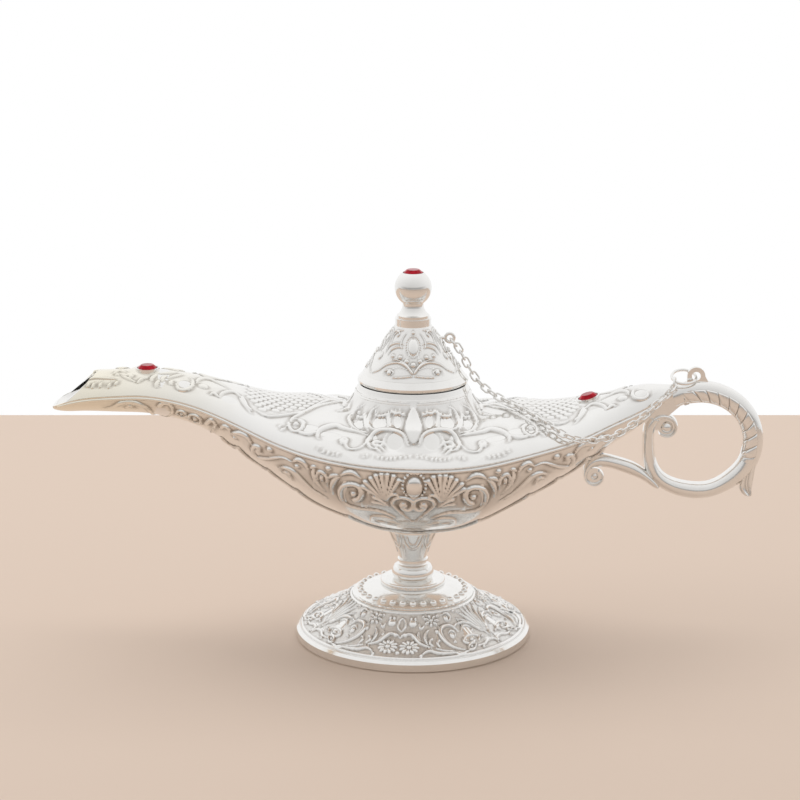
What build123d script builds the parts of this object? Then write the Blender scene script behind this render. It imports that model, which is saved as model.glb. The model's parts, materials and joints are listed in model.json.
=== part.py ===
from build123d import *
import math
import os

os.makedirs("parts", exist_ok=True)

# Genie oil lamp, millimetres. X runs from the spout (-X) to the handle (+X), Z is up,
# and the origin is the centre of the foot's resting ring.

# Overall sizes
SPOUT_REACH = 108.6     # foot's axis to the spout's tip
HEEL_REACH = 78.2       # foot's axis to the hull's rear end
BEAM = 64.0             # width over the seam amidships
HULL_DEPTH = 27.2       # seam down to the keel amidships
DECK_RISE = 10.5        # seam up to the deck's crest amidships
SHEER = 16.3            # rise of the seam from its lowest point to the top of the spout
WALL = 1.4              # cast wall of both shells
SEAM_OVERRUN = 1.5      # how far the hull's sections run past the seam before it is trimmed
DECK_SINK = 6.0         # how far the deck's arcs are centred below the seam
CUT = 4.0               # overrun of every cut

# Foot and stem, from the table upwards
FOOT_RADIUS = 35.9
FOOT_RIM_HEIGHT = 3.3
FOOT_RIM_ROUND = 0.8
FOOT_RIM_SHELF = 2.4    # edge of the rim in to the foot of the slope
FOOT_BAND_HEIGHT = 4.4
FOOT_RING_SHARE = 0.518 # raised ring, as a share of the foot's radius
FOOT_RING_HEIGHT = 13.1
FOOT_RING_STEP = 0.6
FOOT_RING_WIDTH = 1.0
FOOT_TOP_RADIUS = 9.0
FOOT_HEIGHT = 16.5
FOOT_SLOPE_SAG = 0.8
FOOT_DOME_SAG = 0.7
FOOT_WALL = 1.8
FOOT_RIM_WIDTH = 3.0
FOOT_BEAD_COUNT = 32
FOOT_BEAD_RADIUS = 1.05
FOOT_BEAD_INSET = 2.6   # beads' circle inside the raised ring
SAUCER_RADIUS = 9.9
SAUCER_HEIGHT = 1.6
SAUCER_ROUND = 0.7
DRUM_RADIUS = 6.4
DRUM_END_RADIUS = 5.7
DRUM_HEIGHT = 3.8
COLLAR_RADIUS = 4.7
COLLAR_WAIST = 4.0
COLLAR_HEIGHT = 2.3
CUP_FOOT_RADIUS = 4.0
CUP_RADIUS = 7.3
CUP_HEIGHT = 9.9
CUP_LIP = 0.5
CUP_SAG = -0.3          # the flare is slightly hollow
PAD_RADIUS = 7.1        # flat pad under the hull that stands on the cup
PAD_DROP = 0.2

# Tie bolt that holds the foot, stem and hull together
TIE_RADIUS = 2.0
TIE_CLEARANCE = 0.2
TIE_HEAD_RADIUS = 3.9
TIE_HEAD_HEIGHT = 1.8
TIE_SLOT_WIDTH = 0.9
TIE_SLOT_DEPTH = 0.9
TIE_TAIL = 1.2          # thread that stands past the nut
THREAD_CLEARANCE = 0.05
WASHER_RADIUS = 5.0
WASHER_HEIGHT = 0.8
WASHER_SEAT = 0.55      # rise of the curved bowl floor at the washer's rim
NUT_FLATS = 7.0
NUT_HEIGHT = 3.0

# Neck and lid
NECK_FOOT_RADIUS = 17.4
NECK_RADIUS = 16.3
NECK_HEIGHT = 18.3      # neck's top above the lowest point of the seam
NECK_BORE = 14.8
NECK_FOOT_HEIGHT = 15.7 # foot of the straight neck above the seam's lowest point
FLARE_RADIUS = 24.0     # where the neck's hollow flare ends
FLARE_HEIGHT = 8.9
FLARE_SAG = 1.1
SKIRTING_RADIUS = 30.0  # where the flare has sunk into the deck
SKIRTING_HEIGHT = 1.5
LID_GAP = 0.25          # between the neck's top and the brim
SKIRT_CLEARANCE = 0.3
SKIRT_WALL = 1.4
SKIRT_DEPTH = 5.6
BRIM_RADIUS = 16.7
BRIM_EDGE = 1.1
BRIM_HEIGHT = 3.0
CONE_FOOT_RADIUS = 15.1
CONE_TOP_RADIUS = 5.4
CONE_HEIGHT = 14.4
CONE_WALL = 1.6
CONE_BAND_HEIGHT = 2.2

# Finial, screwed down through the top of the cone
FINIAL_FLANGE_RADIUS = 4.9
FINIAL_FLANGE_HEIGHT = 0.9
FINIAL_NECK_RADIUS = 3.2
FINIAL_NECK_HEIGHT = 4.6
FINIAL_NECK_SAG = 0.6
FINIAL_BALL_RADIUS = 5.55
STUD_RADIUS = 1.5
STUD_NUT_FLATS = 5.0
STUD_NUT_HEIGHT = 2.2
STUD_TAIL = 0.9

# Red stones and their settings
STONE_RADIUS = 3.0
STONE_TABLE_RADIUS = 1.9
STONE_SIDES = 12
STONE_SINK = 0.6
STONE_GIRDLE = 0.6
STONE_CROWN = 0.9
SETTING_RIM = 0.6
SETTING_HEIGHT = 0.6
STONE_CLEARANCE = 0.1
SPOUT_STONE_INSET = 28.6    # behind the spout's tip
REAR_STONE_INSET = 25.2 # ahead of the hull's rear end
REAR_STONE_TILT = -16.0

# Handle: one casting, drawn in the plane of the seam's middle
HANDLE_HALF_WIDTH = 2.8
ARM_HALF_WIDTH = 2.2
LEAF_HALF_WIDTH = 1.7
WEB_SHARE = 0.8         # web behind a coil's bead, of the coil's outer radius
# Places on the handle are measured from the hull's rear end and the seam's lowest point
HOOP_BEHIND = 25.0      # centre line of the hoop at its rear
HOOP_AHEAD = 6.7        # centre line of the hoop at its front
HOOP_RISE = 15.3        # centre line of the hoop at its top
HOOP_DROP = 15.6        # centre line of the hoop at its bottom
HANDLE_THICK = 3.2      # half of the band's thickness where it is thickest
SCROLL_RADIUS = 3.2     # coiled end of the lower arm
SCROLL_AHEAD = 22.9
SCROLL_DROP = 11.1
CURL_AHEAD = 1.35       # coiled end inside the hoop
CURL_RISE = 4.3
CURL_RADIUS = 3.3
CURL_BEAD_RADIUS = 2.0
SCROLL_BEAD_RADIUS = 1.3
SCROLL_WEB = 0.7
LUG_BEHIND = 7.1
LUG_RISE = 20.2
LUG_RADIUS = 2.7
LUG_HOLE_RADIUS = 1.35
LUG_HALF_THICK = 0.8

# Two screws that hold the handle from inside the hull
SCREW_RADIUS = 0.9
SCREW_CLEARANCE = 0.1
SCREW_HEAD_RADIUS = 1.6
SCREW_HEAD_HEIGHT = 1.0
HEEL_SCREW_INSET = 8.8  # ahead of the hull's rear end
HEEL_SCREW_SHARE = 0.6  # its height between the keel and the deck's crest
HEEL_SCREW_LENGTH = 14.0
HEEL_SCREW_TILT = 17.0
ARM_SCREW_INSET = 22.0  # ahead of the hull's rear end
ARM_SCREW_LENGTH = 4.2
ARM_SCREW_TILT = 33.0
ARM_SCREW_SEAT = 2.1    # head's seat above the keel, clear of the curved floor

# Chain of oval links with a ring at each end
LINK_WIRE = 0.58
LINK_LENGTH = 3.8
LINK_WIDTH = 2.5
LINK_PITCH = 2.5
LINK_ROLL = 45.0        # each link leans this far one way or the other
END_TWIST = 45.0        # the first and last links turn this much more, to lie across their rings
TWIST_LINKS = 6         # links over which that turn builds up
HANG_PLAY = 0.45        # between the last link's wire and the lug's ring, which it meets aslant
RING_PLAY = 0.15        # between the wires of two linked rings
EYELET_WIRE = 1.0
EYELET_RADIUS = 1.3
EYELET_RISE = 10.4      # eyelet's centre above the foot of the cone
EYELET_SHANK = 1.1      # bare shank between the cone and the eyelet
EYELET_HEAD_RADIUS = 1.0
EYELET_HEAD_HEIGHT = 0.6
LID_RING_RADIUS = 1.5
LID_RING_WIRE = 0.7
LID_RING_FALL = 50.0    # slope of the lid's ring, degrees below level
HANDLE_RING_RADIUS = 3.65
HANDLE_RING_WIRE = 0.9
HANDLE_RING_LIFT = 0.55 # wire above the bottom of the lug's hole, because it runs aslant
HANDLE_RING_TILT = 22.0 # near side lower than the far side
HANDLE_RING_TURN = 218.0    # where the last link hangs on the ring
LID_LINKS = 4           # links that lie on the lid
DECK_LINKS = 17         # links from the brim over the deck to the side of the seam
# The chain's route between its two rings: past the brim, along the deck, over the near
# side of the seam and up to the lug. Each point is a share of the way from the brim to the
# lug, a share of the half beam, and a height above the seam's lowest point.
CHAIN_BRIM_GAP = 1.5    # between the brim and the middle of the chain
CHAIN_ROUTE = (
    (-0.0343, 0.0156, 24.7),
    (0.0000, 0.0312, 20.7),
    (0.0775, 0.0938, 15.8),
    (0.1654, 0.2031, 13.3),
    (0.2563, 0.3812, 11.3),
    (0.3398, 0.5437, 8.8),
    (0.4173, 0.6250, 6.4),
    (0.4888, 0.6062, 5.2),
    (0.5708, 0.5250, 4.9),
    (0.6617, 0.4062, 6.5),
    (0.7511, 0.3000, 9.9),
    (0.8256, 0.2188, 13.7),
    (0.8703, 0.1656, 16.2),
)

# Sizes that follow from those above: the foot's rings and the stack of the stem
foot_band_radius = FOOT_RADIUS - FOOT_RIM_SHELF
foot_ring_radius = FOOT_RADIUS * FOOT_RING_SHARE
bead_circle = foot_ring_radius - FOOT_BEAD_INSET
saucer_z = FOOT_HEIGHT
drum_z = saucer_z + SAUCER_HEIGHT
collar_z = drum_z + DRUM_HEIGHT
cup_z = collar_z + COLLAR_HEIGHT
pad_z = cup_z + CUP_HEIGHT
keel_z = pad_z + PAD_DROP
seam_z = keel_z + HULL_DEPTH
neck_top_z = seam_z + NECK_HEIGHT
brim_z = neck_top_z + LID_GAP
cone_z = brim_z + BRIM_HEIGHT
cone_top_z = cone_z + CONE_HEIGHT
lid_top_z = cone_top_z + CONE_BAND_HEIGHT
spout_stone_x = SPOUT_STONE_INSET - SPOUT_REACH
rear_stone_x = HEEL_REACH - REAR_STONE_INSET
heel_screw_x = HEEL_REACH - HEEL_SCREW_INSET
arm_screw_x = HEEL_REACH - ARM_SCREW_INSET
lug_x = HEEL_REACH + LUG_BEHIND
lug_z = seam_z + LUG_RISE
hoop_top_z = seam_z + HOOP_RISE

# Hull stations, each as shares of: reach, half beam, sheer, hull depth, deck rise
AMIDSHIPS_SHARES = (0.0, 1.0, 0.006, 1.0, 1.0)
FORE_SHARES = (
    (0.092, 0.984, 0.031, 0.967, 1.0),
    (0.184, 0.922, 0.080, 0.860, 0.99),
    (0.276, 0.812, 0.160, 0.743, 0.97),
    (0.368, 0.672, 0.301, 0.574, 0.82),
    (0.460, 0.516, 0.515, 0.452, 0.71),
    (0.552, 0.391, 0.736, 0.338, 0.65),
    (0.645, 0.328, 0.914, 0.287, 0.60),
    (0.737, 0.297, 1.000, 0.265, 0.56),
    (0.829, 0.281, 0.982, 0.239, 0.57),
    (0.921, 0.250, 0.908, 0.187, 0.57),
    (0.967, 0.200, 0.810, 0.132, 0.50),
    (0.990, 0.140, 0.736, 0.077, 0.40),
    (1.000, 0.080, 0.693, 0.045, 0.32),
)
AFT_SHARES = (
    (0.128, 0.984, 0.000, 0.974, 0.99),
    (0.256, 0.922, 0.031, 0.886, 0.97),
    (0.384, 0.812, 0.110, 0.746, 0.92),
    (0.512, 0.672, 0.202, 0.603, 0.76),
    (0.639, 0.516, 0.319, 0.452, 0.70),
    (0.767, 0.344, 0.515, 0.331, 0.60),
    (0.895, 0.200, 0.736, 0.213, 0.52),
    (0.959, 0.130, 0.877, 0.118, 0.30),
    (1.000, 0.090, 0.950, 0.060, 0.18),
)
# The hood's front edge slants back from the seam to its crest
HOOD_FOOT_SHARE = 0.962
HOOD_CREST_SHARE = 0.874


def stations():
    """Every hull station from spout to heel: x, half width, seam height, depth, rise."""
    rows = [(-SPOUT_REACH * row[0], row) for row in reversed(FORE_SHARES)]
    rows.append((0.0, AMIDSHIPS_SHARES))
    rows += [(HEEL_REACH * row[0], row) for row in AFT_SHARES]
    return [
        (x, BEAM / 2 * row[1], seam_z + SHEER * row[2], HULL_DEPTH * row[3], DECK_RISE * row[4])
        for x, row in rows
    ]


def blend_at(x, column):
    """A station's value at any x, straight between the two stations beside it."""
    rows = stations()
    for low, high in zip(rows, rows[1:]):
        if low[0] <= x <= high[0]:
            share = (x - low[0]) / (high[0] - low[0])
            return low[column] + share * (high[column] - low[column])
    raise ValueError("x lies outside the hull")


def hull_section(x, half_width, seam, depth, over):
    """Half ellipse below a level line that lies above the seam by the overrun."""
    down = depth + over
    across = half_width / math.sqrt(1 - (over / down) ** 2)
    centre = (0, seam + over)
    with BuildSketch(Plane.YZ.offset(x)) as section:
        with BuildLine():
            EllipticalCenterArc(centre, across, down, start_angle=180, arc_size=90)
            EllipticalCenterArc(centre, across, down, start_angle=270, arc_size=90)
            Line((across, seam + over), (-across, seam + over))
        make_face()
    return section.sketch


def deck_section(x, half_width, seam, rise, sink):
    """Half ellipse above a level line that lies below the seam by the sink."""
    up = rise + sink
    across = half_width / math.sqrt(1 - (sink / up) ** 2)
    centre = (0, seam - sink)
    with BuildSketch(Plane.YZ.offset(x)) as section:
        with BuildLine():
            EllipticalCenterArc(centre, across, up, start_angle=0, arc_size=90)
            EllipticalCenterArc(centre, across, up, start_angle=90, arc_size=90)
            Line((-across, seam - sink), (across, seam - sink))
        make_face()
    return section.sketch


def seam_block(top):
    """Everything on one side of the seam, to trim the two shells to one common face."""
    with BuildPart() as block:
        with BuildSketch(Plane.XZ):
            with BuildLine():
                points = [(x, seam) for x, _, seam, _, _ in stations()]
                seam_line = Spline(*points)
                front = seam_line @ 0
                back = seam_line @ 1
                front_out = front - (CUT, 0)
                back_out = back + (CUT, 0)
                Line(front, front_out)
                Line(back, back_out)
                edge = seam_z + SHEER + BEAM if top else 0
                Polyline(front_out, (front_out.X, edge), (back_out.X, edge), back_out)
            make_face()
        extrude(amount=BEAM, both=True)
    return block.part


inner_stations = stations()[1:-2]

with BuildPart() as hull_form:
    loft([hull_section(x, w, seam, depth, SEAM_OVERRUN) for x, w, seam, depth, _ in stations()])
    add(seam_block(top=True), mode=Mode.SUBTRACT)

with BuildPart() as deck_form:
    loft([deck_section(x, w, seam, rise, DECK_SINK) for x, w, seam, _, rise in stations()])
    add(seam_block(top=False), mode=Mode.SUBTRACT)

with BuildPart() as hull_cavity:
    loft([
        hull_section(x, w - WALL, seam, depth - WALL, 2 * SEAM_OVERRUN)
        for x, w, seam, depth, _ in inner_stations
    ])

with BuildPart() as deck_cavity:
    loft([
        deck_section(x, w - WALL, seam, rise - WALL, DECK_SINK + WALL)
        for x, w, seam, _, rise in inner_stations
    ])

# Lower shell: the hull, open along the seam, with a flat pad under the keel
tie_hole = TIE_RADIUS + TIE_CLEARANCE
arm_screw_z = blend_at(arm_screw_x, 2) - blend_at(arm_screw_x, 3)
arm_screw_plane = Plane(
    origin=(arm_screw_x, 0, arm_screw_z),
    x_dir=(math.cos(math.radians(ARM_SCREW_TILT)), 0, math.sin(math.radians(ARM_SCREW_TILT))),
    z_dir=(-math.sin(math.radians(ARM_SCREW_TILT)), 0, math.cos(math.radians(ARM_SCREW_TILT))),
)
heel_keel_z = blend_at(heel_screw_x, 2) - blend_at(heel_screw_x, 3)
heel_crest_z = blend_at(heel_screw_x, 2) + blend_at(heel_screw_x, 4)
heel_screw_z = heel_keel_z + HEEL_SCREW_SHARE * (heel_crest_z - heel_keel_z)
heel_screw_plane = Plane(
    origin=(heel_screw_x, 0, heel_screw_z),
    x_dir=(0, 1, 0),
    z_dir=(math.cos(math.radians(HEEL_SCREW_TILT)), 0, math.sin(math.radians(HEEL_SCREW_TILT))),
)
screw_hole = SCREW_RADIUS + SCREW_CLEARANCE

with BuildPart() as lower_shell:
    add(hull_form.part)
    with BuildSketch(Plane.XY.offset(pad_z)):
        Circle(PAD_RADIUS)
    extrude(amount=WALL + PAD_DROP)
    add(hull_cavity.part, mode=Mode.SUBTRACT)
    with BuildSketch(Plane.XY.offset(pad_z - CUT)):
        Circle(tie_hole)
    extrude(amount=2 * CUT + WALL, mode=Mode.SUBTRACT)
    with BuildSketch(arm_screw_plane.offset(-CUT)):
        Circle(screw_hole)
    extrude(amount=2 * CUT, mode=Mode.SUBTRACT)
    with BuildSketch(heel_screw_plane.offset(-CUT)):
        Circle(screw_hole)
    extrude(amount=CUT + HEEL_SCREW_LENGTH, mode=Mode.SUBTRACT)
lower_shell.part.label = "lower_shell"
export_step(lower_shell.part, "parts/lower_shell.step")

# Upper shell: deck, neck, spout hood and two stone settings
hood_foot = (-SPOUT_REACH * HOOD_FOOT_SHARE, blend_at(-SPOUT_REACH * HOOD_FOOT_SHARE, 2))
hood_crest_x = -SPOUT_REACH * HOOD_CREST_SHARE
hood_crest = (hood_crest_x, blend_at(hood_crest_x, 2) + blend_at(hood_crest_x, 4))


def stone_plane(x, tilt):
    """The seat of a stone on the deck's crest, tilted with the crest about Y."""
    crest = blend_at(x, 2) + blend_at(x, 4)
    lean = math.radians(tilt)
    return Plane(
        origin=(x, 0, crest),
        x_dir=(math.cos(lean), 0, -math.sin(lean)),
        z_dir=(math.sin(lean), 0, math.cos(lean)),
    )


def hollow(first, last, sag):
    """The point halfway between two points, moved square to their line by the sag."""
    run, rise = last[0] - first[0], last[1] - first[1]
    size = math.hypot(run, rise)
    return (
        (first[0] + last[0]) / 2 + sag * rise / size,
        (first[1] + last[1]) / 2 - sag * run / size,
    )


spout_stone_plane = stone_plane(spout_stone_x, 0)
rear_stone_plane = stone_plane(rear_stone_x, REAR_STONE_TILT)

with BuildPart() as upper_shell:
    add(deck_form.part)
    with BuildSketch(Plane.XZ):
        with BuildLine():
            flare_top = (NECK_FOOT_RADIUS, seam_z + NECK_FOOT_HEIGHT)
            flare_end = (FLARE_RADIUS, seam_z + FLARE_HEIGHT)
            ThreePointArc(flare_top, hollow(flare_top, flare_end, FLARE_SAG), flare_end)
            Polyline(
                flare_end,
                (SKIRTING_RADIUS, seam_z + SKIRTING_HEIGHT),
                (SKIRTING_RADIUS, seam_z),
                (0, seam_z),
                (0, neck_top_z),
                (NECK_RADIUS, neck_top_z),
                flare_top,
            )
        make_face()
    revolve(axis=Axis.Z)
    for seat in (spout_stone_plane, rear_stone_plane):
        with BuildSketch(seat.offset(-WALL)):
            Circle(STONE_RADIUS + STONE_CLEARANCE + SETTING_RIM)
        extrude(amount=WALL + SETTING_HEIGHT)
    add(deck_cavity.part, mode=Mode.SUBTRACT)
    for seat in (spout_stone_plane, rear_stone_plane):
        with BuildSketch(seat.offset(SETTING_HEIGHT - STONE_SINK)):
            Circle(STONE_RADIUS + STONE_CLEARANCE)
        extrude(amount=CUT, mode=Mode.SUBTRACT)
    with BuildSketch(Plane.XY.offset(seam_z)):
        Circle(NECK_BORE)
    extrude(amount=NECK_HEIGHT + CUT, mode=Mode.SUBTRACT)
    with BuildSketch(Plane.XZ):
        with BuildLine():
            Polyline(
                hood_foot,
                hood_crest,
                (hood_crest[0], hood_crest[1] + CUT),
                (-SPOUT_REACH - CUT, hood_crest[1] + CUT),
                (-SPOUT_REACH - CUT, hood_foot[1] - CUT),
                (hood_foot[0], hood_foot[1] - CUT),
                close=True,
            )
        make_face()
    extrude(amount=BEAM, both=True, mode=Mode.SUBTRACT)
    with BuildSketch(heel_screw_plane.offset(-CUT)):
        Circle(screw_hole)
    extrude(amount=CUT + HEEL_SCREW_LENGTH, mode=Mode.SUBTRACT)
upper_shell.part.label = "upper_shell"
export_step(upper_shell.part, "parts/upper_shell.step")

# Foot: a hollow bell on a flat ring
bead_slope = (FOOT_HEIGHT - FOOT_RING_HEIGHT - FOOT_RING_STEP) / (foot_ring_radius - FOOT_TOP_RADIUS)
bead_z = FOOT_RING_HEIGHT + FOOT_RING_STEP + bead_slope * (foot_ring_radius - bead_circle)
ring_top = FOOT_RING_HEIGHT + FOOT_RING_STEP
ring_inner = foot_ring_radius - FOOT_RING_WIDTH

with BuildPart() as bead:
    Sphere(FOOT_BEAD_RADIUS)

with BuildPart() as foot:
    with BuildSketch(Plane.XZ):
        with BuildLine():
            band = (foot_band_radius, FOOT_BAND_HEIGHT)
            ring = (foot_ring_radius, FOOT_RING_HEIGHT)
            dome = (ring_inner, ring_top)
            top = (FOOT_TOP_RADIUS, FOOT_HEIGHT)
            Polyline(
                (FOOT_RADIUS - FOOT_RIM_WIDTH, 0),
                (FOOT_RADIUS - FOOT_RIM_ROUND / 2, 0),
                (FOOT_RADIUS, FOOT_RIM_ROUND / 2),
                (FOOT_RADIUS, FOOT_RIM_HEIGHT - FOOT_RIM_ROUND),
                (FOOT_RADIUS - FOOT_RIM_ROUND, FOOT_RIM_HEIGHT),
                band,
            )
            ThreePointArc(band, hollow(band, ring, -FOOT_SLOPE_SAG), ring)
            Polyline(ring, (foot_ring_radius, ring_top), dome)
            ThreePointArc(dome, hollow(dome, top, FOOT_DOME_SAG), top)
            inner_top = (FOOT_TOP_RADIUS, FOOT_HEIGHT - FOOT_WALL)
            inner_ring = (ring_inner - FOOT_WALL / 2, ring_top - FOOT_WALL)
            inner_band = (foot_band_radius - FOOT_WALL, FOOT_BAND_HEIGHT - FOOT_WALL)
            Polyline(top, (tie_hole, FOOT_HEIGHT), (tie_hole, FOOT_HEIGHT - FOOT_WALL), inner_top)
            ThreePointArc(inner_top, hollow(inner_top, inner_ring, -FOOT_DOME_SAG), inner_ring)
            ThreePointArc(inner_ring, hollow(inner_ring, inner_band, FOOT_SLOPE_SAG), inner_band)
            Line(inner_band, (FOOT_RADIUS - FOOT_RIM_WIDTH, 0))
        make_face()
    revolve(axis=Axis.Z)
    with Locations((0, 0, bead_z)):
        with PolarLocations(bead_circle, FOOT_BEAD_COUNT):
            add(bead.part)
foot.part.label = "foot"
export_step(foot.part, "parts/foot.step")

# Stem: four turned pieces threaded on the tie bolt
with BuildPart() as stem_saucer:
    with BuildSketch(Plane.XY.offset(saucer_z)):
        Circle(SAUCER_RADIUS)
    extrude(amount=SAUCER_HEIGHT)
    fillet(stem_saucer.edges().group_by(Axis.Z)[-1], SAUCER_ROUND)
    Hole(tie_hole)
stem_saucer.part.label = "stem_saucer"
export_step(stem_saucer.part, "parts/stem_saucer.step")

with BuildPart() as stem_drum:
    with BuildSketch(Plane.XZ):
        with BuildLine():
            drum_top = drum_z + DRUM_HEIGHT
            ThreePointArc(
                (DRUM_END_RADIUS, drum_z),
                (DRUM_RADIUS, (drum_z + drum_top) / 2),
                (DRUM_END_RADIUS, drum_top),
            )
            Polyline(
                (DRUM_END_RADIUS, drum_top),
                (tie_hole, drum_top),
                (tie_hole, drum_z),
                (DRUM_END_RADIUS, drum_z),
            )
        make_face()
    revolve(axis=Axis.Z)
stem_drum.part.label = "stem_drum"
export_step(stem_drum.part, "parts/stem_drum.step")

with BuildPart() as stem_collar:
    with BuildSketch(Plane.XZ):
        with BuildLine():
            rim = COLLAR_HEIGHT / 4
            ThreePointArc(
                (COLLAR_RADIUS, collar_z + rim),
                (COLLAR_WAIST, collar_z + COLLAR_HEIGHT / 2),
                (COLLAR_RADIUS, cup_z - rim),
            )
            Polyline(
                (COLLAR_RADIUS, cup_z - rim),
                (COLLAR_RADIUS, cup_z),
                (tie_hole, cup_z),
                (tie_hole, collar_z),
                (COLLAR_RADIUS, collar_z),
                (COLLAR_RADIUS, collar_z + rim),
            )
        make_face()
    revolve(axis=Axis.Z)
stem_collar.part.label = "stem_collar"
export_step(stem_collar.part, "parts/stem_collar.step")

with BuildPart() as stem_cup:
    with BuildSketch(Plane.XZ):
        with BuildLine():
            cup_foot = (CUP_FOOT_RADIUS, cup_z)
            cup_lip = (CUP_RADIUS, pad_z - CUP_LIP)
            ThreePointArc(cup_foot, hollow(cup_foot, cup_lip, CUP_SAG), cup_lip)
            Polyline(
                cup_lip,
                (CUP_RADIUS, pad_z),
                (tie_hole, pad_z),
                (tie_hole, cup_z),
                cup_foot,
            )
        make_face()
    revolve(axis=Axis.Z)
stem_cup.part.label = "stem_cup"
export_step(stem_cup.part, "parts/stem_cup.step")

# Tie bolt from under the foot up into the bowl, with a washer and a nut at the top
bolt_seat_z = FOOT_HEIGHT - FOOT_WALL - WASHER_HEIGHT
bowl_floor_z = keel_z + WALL
nut_z = bowl_floor_z + WASHER_SEAT + WASHER_HEIGHT

with BuildPart() as tie_bolt:
    with BuildSketch(Plane.XY.offset(bolt_seat_z - TIE_HEAD_HEIGHT)):
        Circle(TIE_HEAD_RADIUS)
    extrude(amount=TIE_HEAD_HEIGHT)
    with BuildSketch(Plane.XY.offset(bolt_seat_z)):
        Circle(TIE_RADIUS)
    extrude(amount=nut_z + NUT_HEIGHT + TIE_TAIL - bolt_seat_z)
    with BuildSketch(Plane.XY.offset(bolt_seat_z - TIE_HEAD_HEIGHT)):
        Rectangle(2 * TIE_HEAD_RADIUS, TIE_SLOT_WIDTH)
    extrude(amount=TIE_SLOT_DEPTH, mode=Mode.SUBTRACT)
tie_bolt.part.label = "tie_bolt"
export_step(tie_bolt.part, "parts/tie_bolt.step")

with BuildPart() as foot_washer:
    with BuildSketch(Plane.XY.offset(bolt_seat_z)):
        Circle(WASHER_RADIUS)
        Circle(tie_hole, mode=Mode.SUBTRACT)
    extrude(amount=WASHER_HEIGHT)
foot_washer.part.label = "foot_washer"
export_step(foot_washer.part, "parts/foot_washer.step")

with BuildPart() as bowl_washer:
    with BuildSketch(Plane.XY.offset(bowl_floor_z + WASHER_SEAT)):
        Circle(WASHER_RADIUS)
        Circle(tie_hole, mode=Mode.SUBTRACT)
    extrude(amount=WASHER_HEIGHT)
bowl_washer.part.label = "bowl_washer"
export_step(bowl_washer.part, "parts/bowl_washer.step")

with BuildPart() as bowl_nut:
    with BuildSketch(Plane.XY.offset(nut_z)):
        RegularPolygon(NUT_FLATS / 2, 6, major_radius=False)
        Circle(TIE_RADIUS + THREAD_CLEARANCE, mode=Mode.SUBTRACT)
    extrude(amount=NUT_HEIGHT)
bowl_nut.part.label = "bowl_nut"
export_step(bowl_nut.part, "parts/bowl_nut.step")

# Lid: a hollow cone on a brim, with a skirt that hangs into the neck
skirt_outer = NECK_BORE - SKIRT_CLEARANCE
skirt_inner = skirt_outer - SKIRT_WALL
stud_hole = STUD_RADIUS + TIE_CLEARANCE

with BuildPart() as lid_cone:
    with BuildSketch(Plane.XZ):
        with BuildLine():
            Polyline(
                (skirt_inner, brim_z - SKIRT_DEPTH),
                (skirt_outer, brim_z - SKIRT_DEPTH),
                (skirt_outer, brim_z),
                (BRIM_RADIUS - BRIM_EDGE / 2, brim_z),
                (BRIM_RADIUS, brim_z + BRIM_EDGE / 2),
                (BRIM_RADIUS, brim_z + BRIM_EDGE),
                (CONE_FOOT_RADIUS, cone_z),
                (CONE_TOP_RADIUS, cone_top_z),
                (CONE_TOP_RADIUS, lid_top_z),
                (stud_hole, lid_top_z),
                (stud_hole, lid_top_z - CONE_WALL),
                (CONE_TOP_RADIUS - CONE_WALL, lid_top_z - CONE_WALL),
                (CONE_TOP_RADIUS - CONE_WALL, cone_top_z),
                (CONE_FOOT_RADIUS - CONE_WALL, cone_z),
                (skirt_inner, cone_z - CONE_WALL),
                close=True,
            )
        make_face()
    revolve(axis=Axis.Z)
    with BuildSketch(Plane.YZ.offset(CONE_TOP_RADIUS)):
        with Locations((0, cone_z + EYELET_RISE)):
            Circle(EYELET_WIRE / 2 + SCREW_CLEARANCE)
    extrude(amount=CONE_FOOT_RADIUS, mode=Mode.SUBTRACT)
lid_cone.part.label = "lid_cone"
export_step(lid_cone.part, "parts/lid_cone.step")

# Finial: flange, hollow neck and ball on a threaded stud, with a nut inside the cone
flange_top_z = lid_top_z + FINIAL_FLANGE_HEIGHT
ball_z = (
    lid_top_z
    + FINIAL_NECK_HEIGHT
    + math.sqrt(FINIAL_BALL_RADIUS ** 2 - FINIAL_NECK_RADIUS ** 2)
)
ball_stone_z = ball_z + math.sqrt(FINIAL_BALL_RADIUS ** 2 - (STONE_RADIUS + STONE_CLEARANCE) ** 2)
nut_under_z = lid_top_z - CONE_WALL - STUD_NUT_HEIGHT

with BuildPart() as finial:
    with BuildSketch(Plane.XZ):
        with BuildLine():
            flange = (FINIAL_FLANGE_RADIUS, flange_top_z)
            waist = (FINIAL_NECK_RADIUS, lid_top_z + FINIAL_NECK_HEIGHT)
            ThreePointArc(flange, hollow(flange, waist, -FINIAL_NECK_SAG), waist)
            ThreePointArc(
                waist,
                (FINIAL_BALL_RADIUS, ball_z),
                (STONE_RADIUS + STONE_CLEARANCE, ball_stone_z),
            )
            Polyline(
                (STONE_RADIUS + STONE_CLEARANCE, ball_stone_z),
                (STONE_RADIUS + STONE_CLEARANCE, ball_stone_z - STONE_SINK),
                (0, ball_stone_z - STONE_SINK),
                (0, nut_under_z - STUD_TAIL),
                (STUD_RADIUS, nut_under_z - STUD_TAIL),
                (STUD_RADIUS, lid_top_z),
                (FINIAL_FLANGE_RADIUS, lid_top_z),
                flange,
            )
        make_face()
    revolve(axis=Axis.Z)
finial.part.label = "finial"
export_step(finial.part, "parts/finial.step")

with BuildPart() as finial_nut:
    with BuildSketch(Plane.XY.offset(nut_under_z)):
        RegularPolygon(STUD_NUT_FLATS / 2, 6, major_radius=False)
        Circle(STUD_RADIUS + THREAD_CLEARANCE, mode=Mode.SUBTRACT)
    extrude(amount=STUD_NUT_HEIGHT)
finial_nut.part.label = "finial_nut"
export_step(finial_nut.part, "parts/finial_nut.step")


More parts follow.
